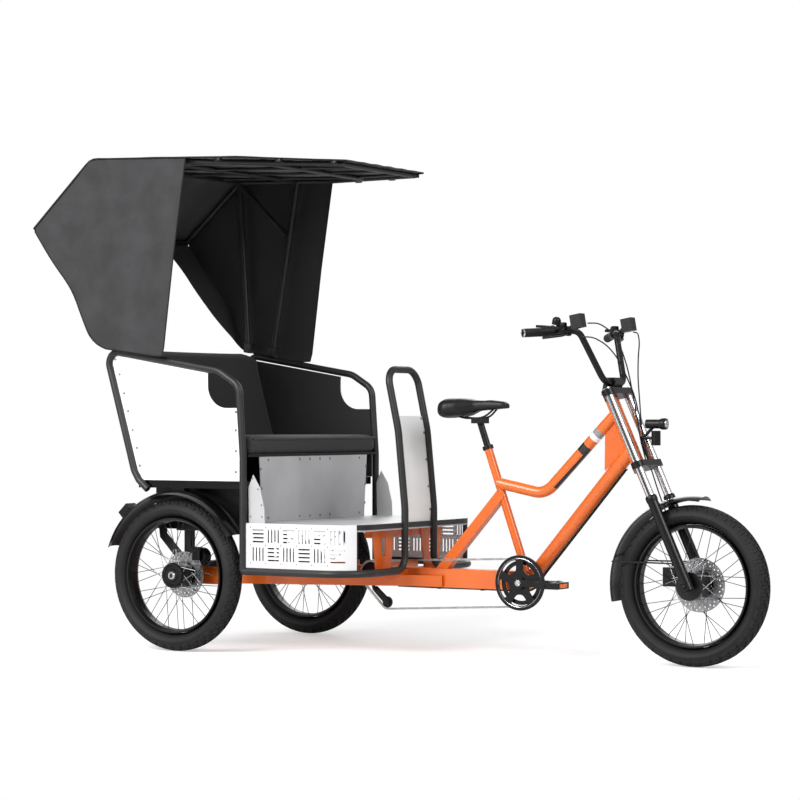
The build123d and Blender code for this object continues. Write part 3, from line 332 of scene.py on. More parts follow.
# ------------------------------------------------------------------ wheels
# Wire wheels with black anodised rims and hubs, stainless spokes and drilled steel brake discs. The steel is
# duller than the rims, and fine turned rings show on it. Moulded fat tyres of black rubber have blocks on the
# crown and lugs on the shoulders.
rim_inside = 0.209          # between hub and rim the wheel is bare steel
disc_radius = 0.1015
turning_marks = 4200.0      # ridges left by the lathe, per metre of radius, drawn coarse enough to show
tyre_radius = 0.295
rear_axle_x, front_axle_x = -0.8005, 1.1845
track_half = 0.466
wheels = (                  # name, axle place, body, CAD tyre and wheel, hub radius
    ("rear_right", Vector((rear_axle_x, -track_half, tyre_radius)), "wheel_rear_right", "rear_tyre_right",
     "rear_wheel_right", 0.0495),
    ("rear_left", Vector((rear_axle_x, track_half, tyre_radius)), "wheel_rear_left", "rear_tyre_left",
     "rear_wheel_left", 0.0495),
    ("front", Vector((front_axle_x, 0, tyre_radius)), "wheel_front", "front_tyre", "front_wheel", 0.0525),
)
for wheel_name, axle, body, tyre_node, wheel_node, hub in wheels:
    wheel_metal = coating(f"{wheel_name}_rim_spokes_and_disc", "#0F0F10", "#0B0B0C", 60, 0.34, 1.2, 0.01,
                          reflects=0.35)
    spots = add_node(wheel_metal, "ShaderNodeTexCoord")
    from_axle = add_node(wheel_metal, "ShaderNodeVectorMath", {"operation": "SUBTRACT", 1: axle},
                         {0: (spots, "Object")})
    flat_on = add_node(wheel_metal, "ShaderNodeVectorMath", {"operation": "MULTIPLY", 1: (1, 0, 1)},
                       {0: (from_axle, "Vector")})
    reach = add_node(wheel_metal, "ShaderNodeVectorMath", {"operation": "LENGTH"}, {0: (flat_on, "Vector")})
    past_hub = add_node(wheel_metal, "ShaderNodeMath", {"operation": "GREATER_THAN", 1: hub},
                        {0: (reach, "Value")})
    before_rim = add_node(wheel_metal, "ShaderNodeMath", {"operation": "LESS_THAN", 1: rim_inside},
                          {0: (reach, "Value")})
    steel = add_node(wheel_metal, "ShaderNodeMath", {"operation": "MULTIPLY"},
                     {0: (past_hub, "Value"), 1: (before_rim, "Value")})
    ridges = add_node(wheel_metal, "ShaderNodeMath", {"operation": "MULTIPLY", 1: turning_marks},
                      {0: (reach, "Value")})
    rings = add_node(wheel_metal, "ShaderNodeMath", {"operation": "SINE"}, {0: (ridges, "Value")})
    steel_gloss = add_node(wheel_metal, "ShaderNodeMapRange",
                           {"From Min": -1.0, "To Min": 0.24, "To Max": 0.36}, {"Value": (rings, "Value")})
    gloss = add_node(wheel_metal, "ShaderNodeMixRGB", {"Color1": (0.34, 0.34, 0.34, 1)},
                     {"Fac": (steel, "Value"), "Color2": (steel_gloss, "Result")})
    on_disc = add_node(wheel_metal, "ShaderNodeMath", {"operation": "LESS_THAN", 1: disc_radius},
                       {0: (reach, "Value")})
    steel_colour = add_node(wheel_metal, "ShaderNodeMixRGB",
                            {"Color1": to_linear("#3A3A3C"), "Color2": to_linear("#A6A6A8")},
                            {"Fac": (on_disc, "Value")})
    colour = add_node(wheel_metal, "ShaderNodeMixRGB", {},
                      {"Fac": (steel, "Value"),
                       "Color1": (wheel_metal.node_tree.nodes["coat colours"], "Color"),
                       "Color2": (steel_colour, "Color")})
    feed(wheel_metal, "Base Color", colour, "Color")
    feed(wheel_metal, "Roughness", gloss, "Color")
    feed(wheel_metal, "Metallic", steel, "Value")
    finish_cad([wheel_node], wheel_metal)

tread_height = 0.004
tyre_half = 0.0455
bead_radius = 0.2245
bead_half = 0.033
section_steps = 28
round_steps = 132
block_width = 0.0095        # of the tread, across the tyre
tread_from = 0.42           # share of the section's half height above which the tread begins
wall_from = -0.5            # and below which the side walls run in to the beads
section_square = 0.10       # how much narrower than an ellipse the section's corners are
block_gap = 0.0008

rubber = coating("black_tyre_rubber", "#1A1A1B", "#141415", 60, 0.66, 1.4, 0.05, reflects=0.35)


def pick(piece):
    """Makes a piece the only one that operators act on."""
    bpy.ops.object.select_all(action="DESELECT")
    piece.select_set(True)
    bpy.context.view_layer.objects.active = piece


def spin_round(steps, axis, weld):
    """Spins the active piece's section once round an axis through the origin and welds its seams."""
    bpy.ops.object.mode_set(mode="EDIT")
    bpy.ops.mesh.select_all(action="SELECT")
    bpy.ops.mesh.spin(steps=steps, angle=math.radians(360), center=(0, 0, 0), axis=axis)
    bpy.ops.mesh.select_all(action="SELECT")
    bpy.ops.mesh.remove_doubles(threshold=weld)
    bpy.ops.mesh.normals_make_consistent(inside=False)
    bpy.ops.object.mode_set(mode="OBJECT")


def tyre_mesh(name, axle):
    """A fat tyre: its section spun round the axle, with blocks on the crown and lugs on the shoulders."""
    bpy.ops.object.select_all(action="DESELECT")
    crown = tyre_radius - tread_height
    middle = (crown + bead_radius) / 2
    tall = (crown - bead_radius) / 2
    bpy.ops.mesh.primitive_circle_add(vertices=section_steps, radius=1, location=(0, 0, 0),
                                      rotation=(math.radians(90), 0, math.radians(90)))
    tyre = bpy.context.active_object
    tyre.name = name
    bpy.ops.object.transform_apply(location=True, rotation=True, scale=True)
    for vertex in tyre.data.vertices:
        side, up = vertex.co.y, vertex.co.z
        squared = 1 - section_square * abs(side * up)
        run_in = min(1, max(0, wall_from - up) / 0.35)
        width = tyre_half + (bead_half - tyre_half) * run_in
        vertex.co = Vector((0, side * width * squared, middle + up * tall))
    spin_round(round_steps, (0, 1, 0), 0.0002)
    shape = bmesh.new()
    shape.from_mesh(tyre.data)
    blocks = []
    for face in shape.faces:
        place = face.calc_center_median()
        radius = math.hypot(place.x, place.z)
        angle_step = int((math.atan2(place.z, place.x) + math.pi) / (2 * math.pi) * round_steps + 0.001)
        across = int(abs(place.y) / block_width)
        if radius > middle + tall * tread_from and (angle_step + across * 2 + (place.y > 0)) % 3 != 0:
            blocks.append(face)
    bmesh.ops.inset_individual(shape, faces=blocks, thickness=block_gap, depth=0)
    for face in blocks:
        for vertex in face.verts:
            out = Vector((vertex.co.x, vertex.co.y * 0.6, vertex.co.z)).normalized()
            vertex.co += out * tread_height * 0.98
    shape.to_mesh(tyre.data)
    shape.free()
    for vertex in tyre.data.vertices:
        vertex.co += axle
    pick(tyre)
    bpy.ops.object.shade_smooth_by_angle(angle=math.radians(28))
    tyre.data.materials.append(rubber)
    return tyre


for wheel_name, axle, body, tyre_node, wheel_node, hub in wheels:
    tyre = tyre_mesh(f"{wheel_name}_tyre", axle)
    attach(tyre, body)
    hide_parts(tyre_node)

# ------------------------------------------------------------------ fork legs
# A telescopic fork: polished hard-chromed stanchions slide in black painted lower legs of cast magnesium. The
# front brake caliper bolts to one leg and is black too.
leg_metal = coating("chromed_stanchions_and_black_lower_legs", "#0D0D0E", "#09090A", 60, 0.3, 1.2, 0.01,
                    reflects=0.35)
rake = math.radians(24.3)
leg_line = Vector((-math.sin(rake), 0, math.cos(rake)))
leg_foot = Vector((front_axle_x + 0.010, 0, tyre_radius))
chrome_from = 0.3481        # metres up the leg
up_leg = distance_along(leg_metal, leg_foot, leg_line)
chromed = add_node(leg_metal, "ShaderNodeMath", {"operation": "GREATER_THAN", 1: chrome_from},
                   {0: (up_leg, "Value")})
leg_gloss = add_node(leg_metal, "ShaderNodeMapRange", {"To Min": 0.3, "To Max": 0.1},
                     {"Value": (chromed, "Value")})
paint_over(leg_metal, chromed, "#DADADC")
feed(leg_metal, "Roughness", leg_gloss, "Result")
feed(leg_metal, "Metallic", chromed, "Value")
finish_cad(["fork_legs"], leg_metal)

# ------------------------------------------------------------------ canopy
# A hood of coated canvas, mottled grey outside and near black inside. It is cut in four panels, the roof, two
# curtains and the back, that are sewn at the edges, stretched over five bows and bound at the hems.


def canvas(name, light, dark, thread_mm):
    """Woven cloth: two crossing sets of threads in relief, and cloudy patches of rubbed coating."""
    material = new_material(name)
    places = add_node(material, "ShaderNodeTexCoord")
    clouds = add_node(material, "ShaderNodeTexNoise", {"Scale": 1000 / 130, "Detail": 5.0, "Roughness": 0.6},
                      {"Vector": (places, "Object")})
    colours = add_node(material, "ShaderNodeValToRGB", {}, {"Fac": (clouds, "Fac")})
    set_ramp(colours, ((0.36, dark), (0.66, light)))
    thread = 1000 / thread_mm / 2
    warp = add_node(material, "ShaderNodeTexWave",
                    {"bands_direction": "Z", "Scale": thread, "Distortion": 0.6},
                    {"Vector": (places, "Object")})
    weft = add_node(material, "ShaderNodeTexWave",
                    {"bands_direction": "DIAGONAL", "Scale": thread, "Distortion": 0.6},
                    {"Vector": (places, "Object")})
    weave = add_node(material, "ShaderNodeMath", {"operation": "MAXIMUM"},
                     {0: (warp, "Fac"), 1: (weft, "Fac")})
    relief = add_node(material, "ShaderNodeBump", {"Strength": 0.5, "Distance": 0.0004},
                      {"Height": (weave, "Value")})
    feed(material, "Base Color", colours, "Color")
    feed(material, "Normal", relief, "Normal")
    set_shader(material, {"Roughness": 0.82, "Sheen Weight": 0.15, "Sheen Roughness": 0.6})
    return material


thread_shown = 2.4          # mm between threads, about four times the real spacing, so that the weave shows
canvas_outside = canvas("grey_canvas_outside", "#2B2B2D", "#18181A", thread_shown)
canvas_inside = canvas("black_canvas_inside", "#171718", "#121213", thread_shown)
cloth_thick = 0.002
sides = (("right", -1), ("left", 1))


def chain_point(chain, share):
    """A point at a share of the way along a chain of points."""
    lengths = [math.dist(a, b) for a, b in zip(chain, chain[1:])]
    left = share * sum(lengths)
    for (a, b), length in zip(zip(chain, chain[1:]), lengths):
        if left <= length:
            return tuple(p + (q - p) * left / length for p, q in zip(a, b))
        left -= length
    return tuple(chain[-1])


def rounded(chain, bend, steps=6):
    """A chain of points with each corner eased by a quadratic curve that starts bend metres before it."""
    eased = [chain[0]]
    for before, corner, after in zip(chain, chain[1:], chain[2:]):
        near = min(bend, math.dist(before, corner) / 2, math.dist(corner, after) / 2)
        start = tuple(c + (b - c) * near / math.dist(before, corner) for b, c in zip(before, corner))
        end = tuple(c + (a - c) * near / math.dist(after, corner) for a, c in zip(after, corner))
        for number in range(steps + 1):
            t = number / steps
            eased.append(tuple((1 - t) ** 2 * s + 2 * t * (1 - t) * c + t * t * e
                               for s, c, e in zip(start, corner, end)))
    return eased + [chain[-1]]


def mesh_piece(name, points, edges, faces):
    """A piece from its own points, edges and faces."""
    mesh = bpy.data.meshes.new(name)
    mesh.from_pydata(points, edges, faces)
    piece = place_object(name, mesh)
    pick(piece)
    return piece


def modify(piece, kind, **settings):
    """Changes the active piece for good by a modifier."""
    change = piece.modifiers.new(kind, kind)
    for name, value in settings.items():
        setattr(change, name, value)
    bpy.ops.object.modifier_apply(modifier=change.name)


def sheet_piece(name, rows, slots_used):
    """A sheet of cloth through rows of points, thickened inwards, with its finishes outside and inside."""
    count = len(rows[0])
    points = [point for row in rows for point in row]
    faces = [(r * count + c, r * count + c + 1, (r + 1) * count + c + 1, (r + 1) * count + c)
             for r in range(len(rows) - 1) for c in range(count - 1)]
    piece = mesh_piece(name, points, [], faces)
    for material in slots_used:
        piece.data.materials.append(material)
    modify(piece, "SOLIDIFY", thickness=cloth_thick, offset=-1, material_offset=1, material_offset_rim=0)
    bpy.ops.object.shade_smooth_by_angle(angle=math.radians(50))
    return piece


bow_places = (-0.371, -0.072, 0.330, 0.640)
roof_line = rounded([(-0.679, 1.672), (-0.386, 1.9375), (0.668, 1.8955)], 0.03)
roof_plan = [(-0.69, 0.523), (0.080, 0.5265), (0.300, 0.512), (0.668, 0.287)]
cloth_sag = 0.007           # between two bows
cloth_ripple = 0.0012
curtain_out = 0.5235        # each curtain from the middle plane


def roof_half(x):
    """Half the roof's width at a distance ahead of the rear axle."""
    for (x0, half0), (x1, half1) in zip(roof_plan, roof_plan[1:]):
        if x <= x1:
            return half0 + (half1 - half0) * (x - x0) / (x1 - x0)
    return roof_plan[-1][1]


def roof_sag(x):
    """How far the cloth hangs between the bows that hold it up."""
    for before, after in zip((-0.386,) + bow_places, bow_places):
        if before <= x <= after:
            return cloth_sag * math.sin(math.pi * (x - before) / (after - before)) ** 2
    return 0


roof_rows = []
roof_steps = 64
roof_across = 32
for step in range(roof_steps + 1):
    x, z = chain_point(roof_line, step / roof_steps)
    half = roof_half(x)
    row = []
    for column in range(roof_across + 1):
        share = column / roof_across * 2 - 1
        crown = 1 - share * share
        ripple = cloth_ripple * math.sin(share * 19 + x * 9) * crown
        row.append((x + rear_axle_x, share * half, z - roof_sag(x) * (0.35 + 0.65 * crown) + ripple - 0.0015))
    roof_rows.append(row)
canopy_roof = sheet_piece("canopy_roof_cloth", roof_rows, (canvas_outside, canvas_inside))
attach(canopy_roof, "chassis")
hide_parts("canopy_roof")

hood_edge = [(-0.309, 1.180), (-0.352, 1.196), (-0.393, 1.232), (-0.432, 1.313), (-0.478, 1.417),
             (-0.588, 1.543), (-0.676, 1.665)]
back_chain = rounded(hood_edge, 0.06)
side_rear = back_chain + [(-0.384, 1.930)]
side_front = rounded([(-0.068, 1.1480), (-0.030, 1.1435), (-0.0255, 1.183)], 0.04)
side_front += [(0.020, 1.535), (0.078, 1.9105)]
curtain_rows_count = 60
curtain_columns = 30
for side_name, side in sides:
    rows = []
    for step in range(curtain_rows_count + 1):
        share = step / curtain_rows_count
        rear_point = chain_point(side_rear, share)
        front_point = chain_point(side_front, share)
        row = []
        for column in range(curtain_columns + 1):
            t = column / curtain_columns
            x = rear_point[0] + (front_point[0] - rear_point[0]) * t
            z = rear_point[1] + (front_point[1] - rear_point[1]) * t
            held = math.sin(math.pi * min(1, share * 1.05)) * math.sin(math.pi * t)
            wave = 0.0035 * math.sin(x * 11 + z * 5 + side) * held + 0.002 * math.sin(x * 4 - z * 13) * held
            row.append((x + rear_axle_x, side * (curtain_out + wave), z))
        rows.append(row if side < 0 else row[::-1])
    curtain = sheet_piece(f"canopy_curtain_{side_name}", rows, (canvas_outside, canvas_inside))
    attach(curtain, "chassis")
    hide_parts(f"canopy_side_{side_name}")

window_line = rounded([(0.485, 1.196), (0.480, 1.245), (0.440, 1.287), (0.379, 1.363), (0.345, 1.435),
                       (0.362, 1.540), (0.335, 1.625)], 0.04)


def window_half(z):
    """Half the width of the rear window at a height."""
    for (half0, z0), (half1, z1) in zip(window_line, window_line[1:]):
        if z <= z1:
            return half0 + (half1 - half0) * (z - z0) / (z1 - z0)
    return window_line[-1][0]


back_half = 0.520
back_line = [point for point in back_chain if point[1] > 1.19]
window_top = 1.625
lower_left = []
lower_right = []
top_steps = 40
for step in range(top_steps + 1):
    x, z = chain_point(back_line, step / top_steps)
    if z < window_top:
        inner = window_half(z)
        lower_left.append([(x + rear_axle_x, back_half - (back_half - inner) * c / 8, z) for c in range(9)])
        lower_right.append([(x + rear_axle_x, -inner - (back_half - inner) * c / 8, z) for c in range(9)])
        last = (x, z)
top_band = []
for step in range(7):
    x, z = chain_point([last, back_line[-1]], step / 6)
    top_band.append([(x + rear_axle_x, back_half * (1 - c / 20), z) for c in range(41)])
back_parts = [sheet_piece(f"back_part_{number}", rows, (canvas_outside, canvas_inside))
              for number, rows in enumerate((lower_left, lower_right, top_band))]
bpy.ops.object.select_all(action="DESELECT")
for part in back_parts:
    part.select_set(True)
bpy.context.view_layer.objects.active = back_parts[0]
bpy.ops.object.join()
canopy_back = bpy.context.active_object
canopy_back.name = "canopy_back_cloth"
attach(canopy_back, "chassis")
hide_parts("canopy_back")

# ------------------------------------------------------------------ seat cushion and backrest
# Foam pads in a black woven cover, stuffed tight so that their faces crown. They lie on the seat box and lean
# on the back panel, between side linings of the same cloth.
seat_thread = 1.6           # mm between threads, about twice the real spacing, so that the weave shows
seat_cloth = canvas("black_woven_seat_cloth", "#171718", "#101011", seat_thread)
pad_grid = 0.0075           # of the mesh that the cloth simulation blows up
blow_frames = 15
finish_cad(["side_linings"], seat_cloth)


def stuffed(name, corners, inset, pressure, cap):
    """A pad from eight corners: shrunk a little, then blown up by a cloth simulation."""
    bpy.ops.object.select_all(action="DESELECT")
    bpy.ops.mesh.primitive_cube_add(size=2)
    pad = bpy.context.active_object
    pad.name = name
    middle = sum((Vector(c) for c in corners), Vector()) / len(corners)
    for vertex in pad.data.vertices:
        number = (vertex.co.x > 0) * 4 + (vertex.co.y > 0) * 2 + (vertex.co.z > 0)
        corner = Vector(corners[number])
        for axis in range(3):
            toward = inset if corner[axis] < middle[axis] else -inset
            vertex.co[axis] = corner[axis] + toward
    modify(pad, "BEVEL", width=0.016, segments=4)
    pad.data.remesh_voxel_size = pad_grid
    bpy.ops.object.voxel_remesh()
    rest = [vertex.co.copy() for vertex in pad.data.vertices]
    cloth = pad.modifiers.new("stuffing", "CLOTH")
    cloth.settings.use_pressure = True
    cloth.settings.uniform_pressure_force = pressure
    cloth.settings.effector_weights.gravity = 0
    cloth.settings.quality = 4
    for frame_number in range(1, blow_frames):
        scene.frame_set(frame_number)
    blown = pad.evaluated_get(bpy.context.evaluated_depsgraph_get())
    places = [vertex.co.copy() for vertex in blown.data.vertices]
    pad.modifiers.remove(cloth)
    scene.frame_set(1)
    for vertex, start, end in zip(pad.data.vertices, rest, places):
        move = end - start
        vertex.co = start + move * min(1, cap / max(move.length, 1e-9))
    modify(pad, "SMOOTH", iterations=4)
    bpy.ops.object.shade_smooth()
    pad.data.materials.append(seat_cloth)
    return pad


def box_corners(low, high):
    """The eight corners of a box, in the order that stuffed() takes them."""
    return [(x, y, z) for x in (low[0], high[0]) for y in (low[1], high[1]) for z in (low[2], high[2])]


cushion = stuffed("seat_cushion_pad", box_corners(*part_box("seat_cushion")), 0.005, 3.5, 0.008)
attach(cushion, "chassis")
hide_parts("seat_cushion")
rest_half = 0.4655
rest_front = ((-0.158, 0.790), (-0.272, 1.164))
rest_rear = ((-0.180, 0.790), (-0.346, 1.190))
rest_corners = [(x + rear_axle_x, y, z) for places in (rest_rear, rest_front) for y in (-rest_half, rest_half)
                for x, z in places]
backrest = stuffed("backrest_pad", rest_corners, 0.004, 3.0, 0.006)
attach(backrest, "chassis")
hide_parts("backrest")

# ------------------------------------------------------------------ rivets
# Domed aluminium blind rivets, pulled from outside, hold the coated panels to the tubes, the seat front to
# its box and the skirts and wing plates to the platform.
rivet_steel = coating("aluminium_rivet_heads", "#8E8E90", "#7A7A7C", 6, 0.35, 0.6, 0.01, 0.9)


def add_copy(whole, mesh, matrix):
    """Adds a copy of a mesh, moved by a matrix, to a growing shape."""
    before = len(whole.verts)
    whole.from_mesh(mesh)
    whole.verts.ensure_lookup_table()
    for vertex in whole.verts[before:]:
        vertex.co = matrix @ vertex.co


def shape_to_piece(whole, name, material):
    """Makes a grown shape a piece of one material."""
    mesh = bpy.data.meshes.new(name)
    whole.to_mesh(mesh)
    whole.free()
    mesh.materials.append(material)
    return place_object(name, mesh)


rivet_flatness = 0.45       # height of a head as a share of its radius
panel_face, skirt_face, wing_face = 0.4775, 0.4803, 0.4663      # each sheet's outside from the middle plane


def rivets(name, places, facing, body, radius=0.0055):
    """Domed heads at points, with their flat side against the sheet that faces along a direction."""
    bpy.ops.object.select_all(action="DESELECT")
    bpy.ops.mesh.primitive_uv_sphere_add(segments=10, ring_count=6, radius=radius)
    head = bpy.context.active_object
    bpy.ops.object.mode_set(mode="EDIT")
    bpy.ops.mesh.select_all(action="SELECT")
    bpy.ops.mesh.bisect(plane_co=(0, 0, 0), plane_no=(0, 0, 1), clear_inner=True, use_fill=True)
    bpy.ops.object.mode_set(mode="OBJECT")
    whole = bmesh.new()
    turn = Vector((0, 0, 1)).rotation_difference(Vector(facing)).to_matrix().to_4x4()
    for place in places:
        add_copy(whole, head.data,
                 Matrix.Translation(place) @ turn @ Matrix.Scale(rivet_flatness, 4, (0, 0, 1)))
    bpy.data.objects.remove(head)
    piece = shape_to_piece(whole, name, rivet_steel)
    for face in piece.data.polygons:
        face.use_smooth = True
    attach(piece, body)


for side_name, side in sides:
    places = [(x + rear_axle_x, side * panel_face, z)
              for x, z in ((-0.176, 0.72), (-0.191, 0.79), (-0.212, 0.86), (-0.234, 0.935), (-0.254, 1.005),
                           (-0.276, 1.08), (-0.298, 1.14),
                           (0.284, 0.70), (0.284, 0.78), (0.284, 0.86), (0.284, 0.93))]
    rivets(f"side_panel_rivets_{side_name}", places, (0, side, 0), "chassis")
front_x = 0.3345 + rear_axle_x
front_places = [(front_x, y, z) for y in (-0.33, -0.11, -0.037, 0.037, 0.11, 0.33) for z in (0.745, 0.52)]
front_places += [(front_x, side * half, z) for side in (-1, 1)
                 for half, z in ((0.372, 0.56), (0.374, 0.635), (0.380, 0.71))]
rivets("seat_front_rivets", front_places, (1, 0, 0), "chassis")
for side_name, side in sides:
    skirt_places = [(0.355 + 0.070 * n + rear_axle_x, side * skirt_face, z)
                    for n in range(6) for z in (0.353, 0.423, 0.490)]
    rivets(f"skirt_rivets_{side_name}", skirt_places, (0, side, 0), "chassis", 0.0028)
    wing_places = [(x + rear_axle_x, side * wing_face, z)
                   for x, z in ((0.345, 0.53), (0.398, 0.53), (0.396, 0.575), (0.380, 0.635), (0.355, 0.675))]
    rivets(f"wing_rivets_{side_name}", wing_places, (0, side, 0), "chassis", 0.004)
grab_places = [(x + rear_axle_x, y, z) for y in (-0.086, 0.086)
               for x, z in ((0.8165, 0.55), (0.808, 0.64), (0.7995, 0.745), (0.7895, 0.85), (0.776, 0.905))]
rivets("grab_panel_rivets", grab_places, (1, 0, 0.1), "chassis")

# ------------------------------------------------------------------ chain
# A bright steel roller chain of half-inch pitch: outer plates with pins and inner plates with rollers, in
# turn. It runs round the chainring, the idler cassette and the lower tension wheel.
chain_steel = coating("bright_chain_steel", "#C4C4C0", "#A8A8A4", 20, 0.3, 1.0, 0.01, 1.0)
chain_plane = -0.062
chain_pitch = 0.0127
plate_round = 0.0040
plate_thick = 0.0009
chain_wheels = (            # x, z and radius at the pins
    (0.5035, 0.287, 0.090), (-0.1605, 0.300, 0.0503), (-0.0875, 0.192, 0.0263),
)


def chain_link(plate_side, roller_radius, roller_half):
    """Two stadium plates and the two round pins or rollers between them, centred on the origin along X."""
    discs = ((plate_round, plate_thick, -plate_side, 12, (0,)),
             (plate_round, plate_thick, plate_side, 12, (0,)),
             (roller_radius, 2 * roller_half, 0, 8, (-1, 1)))
    link = bmesh.new()
    for radius, depth, away, corners, ends in discs:
        bpy.ops.object.select_all(action="DESELECT")
        bpy.ops.mesh.primitive_cylinder_add(vertices=corners, radius=radius, depth=depth,
                                            location=(0, away, 0),
                                            rotation=(math.radians(90), math.radians(180 / corners), 0))
        bpy.ops.object.transform_apply(location=True, rotation=True, scale=True)
        piece = bpy.context.active_object
        for end in ends:
            before = len(link.verts)
            link.from_mesh(piece.data)
            link.verts.ensure_lookup_table()
            for vertex in link.verts[before:]:
                vertex.co.x += chain_pitch / 2 * (end or math.copysign(1, vertex.co.x))
        bpy.data.objects.remove(piece)
    mesh = bpy.data.meshes.new("chain_link")
    link.to_mesh(mesh)
    link.free()
    return mesh


link_kinds = (chain_link(0.0030, 0.0018, 0.0035), chain_link(0.00205, 0.0034, 0.0017))
rim_points = [(x + reach * math.cos(math.radians(turn)), z + reach * math.sin(math.radians(turn)))
              for x, z, reach in chain_wheels for turn in range(0, 360, 2)]
chain_run = [rim_points[number] for number in convex_hull_2d(rim_points)]
chain_run.append(chain_run[0])
run_length = sum(math.dist(a, b) for a, b in zip(chain_run, chain_run[1:]))
link_count = 2 * round(run_length / chain_pitch / 2)
chain_pins = [chain_point(chain_run, number / link_count) for number in range(link_count)]
chain_whole = bmesh.new()
for number, (here, there) in enumerate(zip(chain_pins, chain_pins[1:] + chain_pins[:1])):
    slope = Matrix.Rotation(-math.atan2(there[1] - here[1], there[0] - here[0]), 4, "Y")
    link_middle = ((here[0] + there[0]) / 2, chain_plane, (here[1] + there[1]) / 2)
    add_copy(chain_whole, link_kinds[number % 2], Matrix.Translation(link_middle) @ slope)
chain_links = shape_to_piece(chain_whole, "chain_links", chain_steel)
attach(chain_links, "chassis")
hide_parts("chain")

# ------------------------------------------------------------------ rear hub ends
# Each rear hub ends in a knurled ring of black anodised aluminium and a bright turned steel nut with a dark
# socket, screwed on the axle.


def lathe(name, profile, place, axis, material, body, steps=48, knurl=0.0):
    """A turned piece: (radius, distance along the axis) points spun round it, with a knurled rim if asked."""
    piece = mesh_piece(name, [(radius, 0, along) for radius, along in profile],
                       [(n, n + 1) for n in range(len(profile) - 1)], [])
    spin_round(steps, (0, 0, 1), 0.00002)
    widest = max(radius for radius, along in profile)
    turn = Vector((0, 0, 1)).rotation_difference(Vector(axis)).to_matrix()
    for vertex in piece.data.vertices:
        step = round(math.atan2(vertex.co.y, vertex.co.x) / (2 * math.pi) * steps)
        if knurl and step % 3 == 0 and math.hypot(vertex.co.x, vertex.co.y) > widest * 0.98:
            vertex.co.x *= 1 - knurl
            vertex.co.y *= 1 - knurl
        vertex.co = turn @ vertex.co + Vector(place)
    bpy.ops.object.shade_smooth_by_angle(angle=math.radians(35))
    piece.data.materials.append(material)
    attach(piece, body)
    return piece


bright_steel = coating("turned_bright_steel", "#D8D8DA", "#C6C6C8", 8, 0.2, 0.5, 0.004, 1.0)
for side_name, side in sides:
    hub_end = (rear_axle_x, side * 0.4962, tyre_radius)
    lathe(f"rear_hub_ring_{side_name}",
          [(0.0, 0.009), (0.022, 0.009), (0.026, 0.004), (0.036, 0.004), (0.040, 0.009), (0.0465, 0.0095),
           (0.049, 0.007), (0.049, 0.0)],
          hub_end, (0, side, 0), black_metal, f"wheel_rear_{side_name}", steps=72, knurl=0.05)
    lathe(f"rear_axle_nut_{side_name}",
          [(0.0075, 0.010), (0.0095, 0.0145), (0.013, 0.0145), (0.0155, 0.012), (0.0165, 0.0085)],
          hub_end, (0, side, 0), bright_steel, f"wheel_rear_{side_name}")

# ------------------------------------------------------------------ fork seals and axle caps
# A moulded black wiper rings each stanchion where it enters its lower leg, and a hexagonal black cap closes
# each axle clamp.
seal_z = 0.612
leg_apart = 0.077           # each leg from the middle plane
for side_name, side in sides:
    seal_at = (leg_foot.x - (seal_z - leg_foot.z) * math.tan(rake), side * leg_apart, seal_z)
    lathe(f"fork_seal_{side_name}",
          [(0.0163, 0.012), (0.0185, 0.012), (0.0215, 0.008), (0.0222, -0.004), (0.0205, -0.012)],
          seal_at, leg_line, black_plastic, "steering", steps=32)
    lathe(f"front_axle_cap_{side_name}", [(0.0, 0.006), (0.009, 0.006), (0.0115, 0.004), (0.012, -0.002)],
          (front_axle_x, side * 0.0985, 0.297), (0, side, 0), black_metal, "steering", steps=6)

# ------------------------------------------------------------------ saddle
# A padded saddle: a smooth cover of synthetic leather is drawn over foam and glued under its shell, which
# rides on two bent steel rails.
saddle_rear = 0.1285
saddle_length = 0.286
saddle_widths = [(0, 0.040), (0.010, 0.068), (0.028, 0.088), (0.05, 0.094), (0.095, 0.080), (0.125, 0.056),
                 (0.15, 0.038), (0.20, 0.027), (0.262, 0.024), (0.278, 0.019), (saddle_length, 0.010)]
saddle_tops = [(0, 0.956), (0.008, 0.972), (0.04, 0.984), (0.095, 0.984), (0.15, 0.976), (0.215, 0.976),
               (0.27, 0.970), (saddle_length, 0.960)]
saddle_lows = [(0, 0.930), (0.008, 0.912), (0.03, 0.906), (0.11, 0.915), (0.16, 0.934), (0.24, 0.940),
               (saddle_length, 0.944)]


def between(table, x):
    """The value at x on a table of (x, value), joined by straight runs."""
    for (x0, v0), (x1, v1) in zip(table, table[1:]):
        if x <= x1:
            return v0 + (v1 - v0) * (x - x0) / (x1 - x0)
    return table[-1][1]


def drawn(name, runs, closed, **settings):
    """A mesh from a curve through runs of points."""
    line = bpy.data.curves.new(name, "CURVE")
    for setting, value in settings.items():
        setattr(line, setting, value)
    for points in runs:
        run = line.splines.new("POLY")
        run.points.add(len(points) - 1)
        for spot, point in zip(run.points, points):
            spot.co = (*point, 1)
        run.use_cyclic_u = closed
    pick(place_object(name, line))
    bpy.ops.object.convert(target="MESH")
    return bpy.context.active_object


def tube(name, points, radius, material, body, closed=False):
    """A round bar, cord or seam along a run of points."""
    piece = drawn(name, [points], closed, dimensions="3D", bevel_depth=radius, bevel_resolution=2,
                  use_fill_caps=True)
    bpy.ops.object.shade_smooth_by_angle(angle=math.radians(40))
    piece.data.materials.append(material)
    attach(piece, body)
    return piece


saddle_steps = 44
saddle_round = 36
saddle_points = []
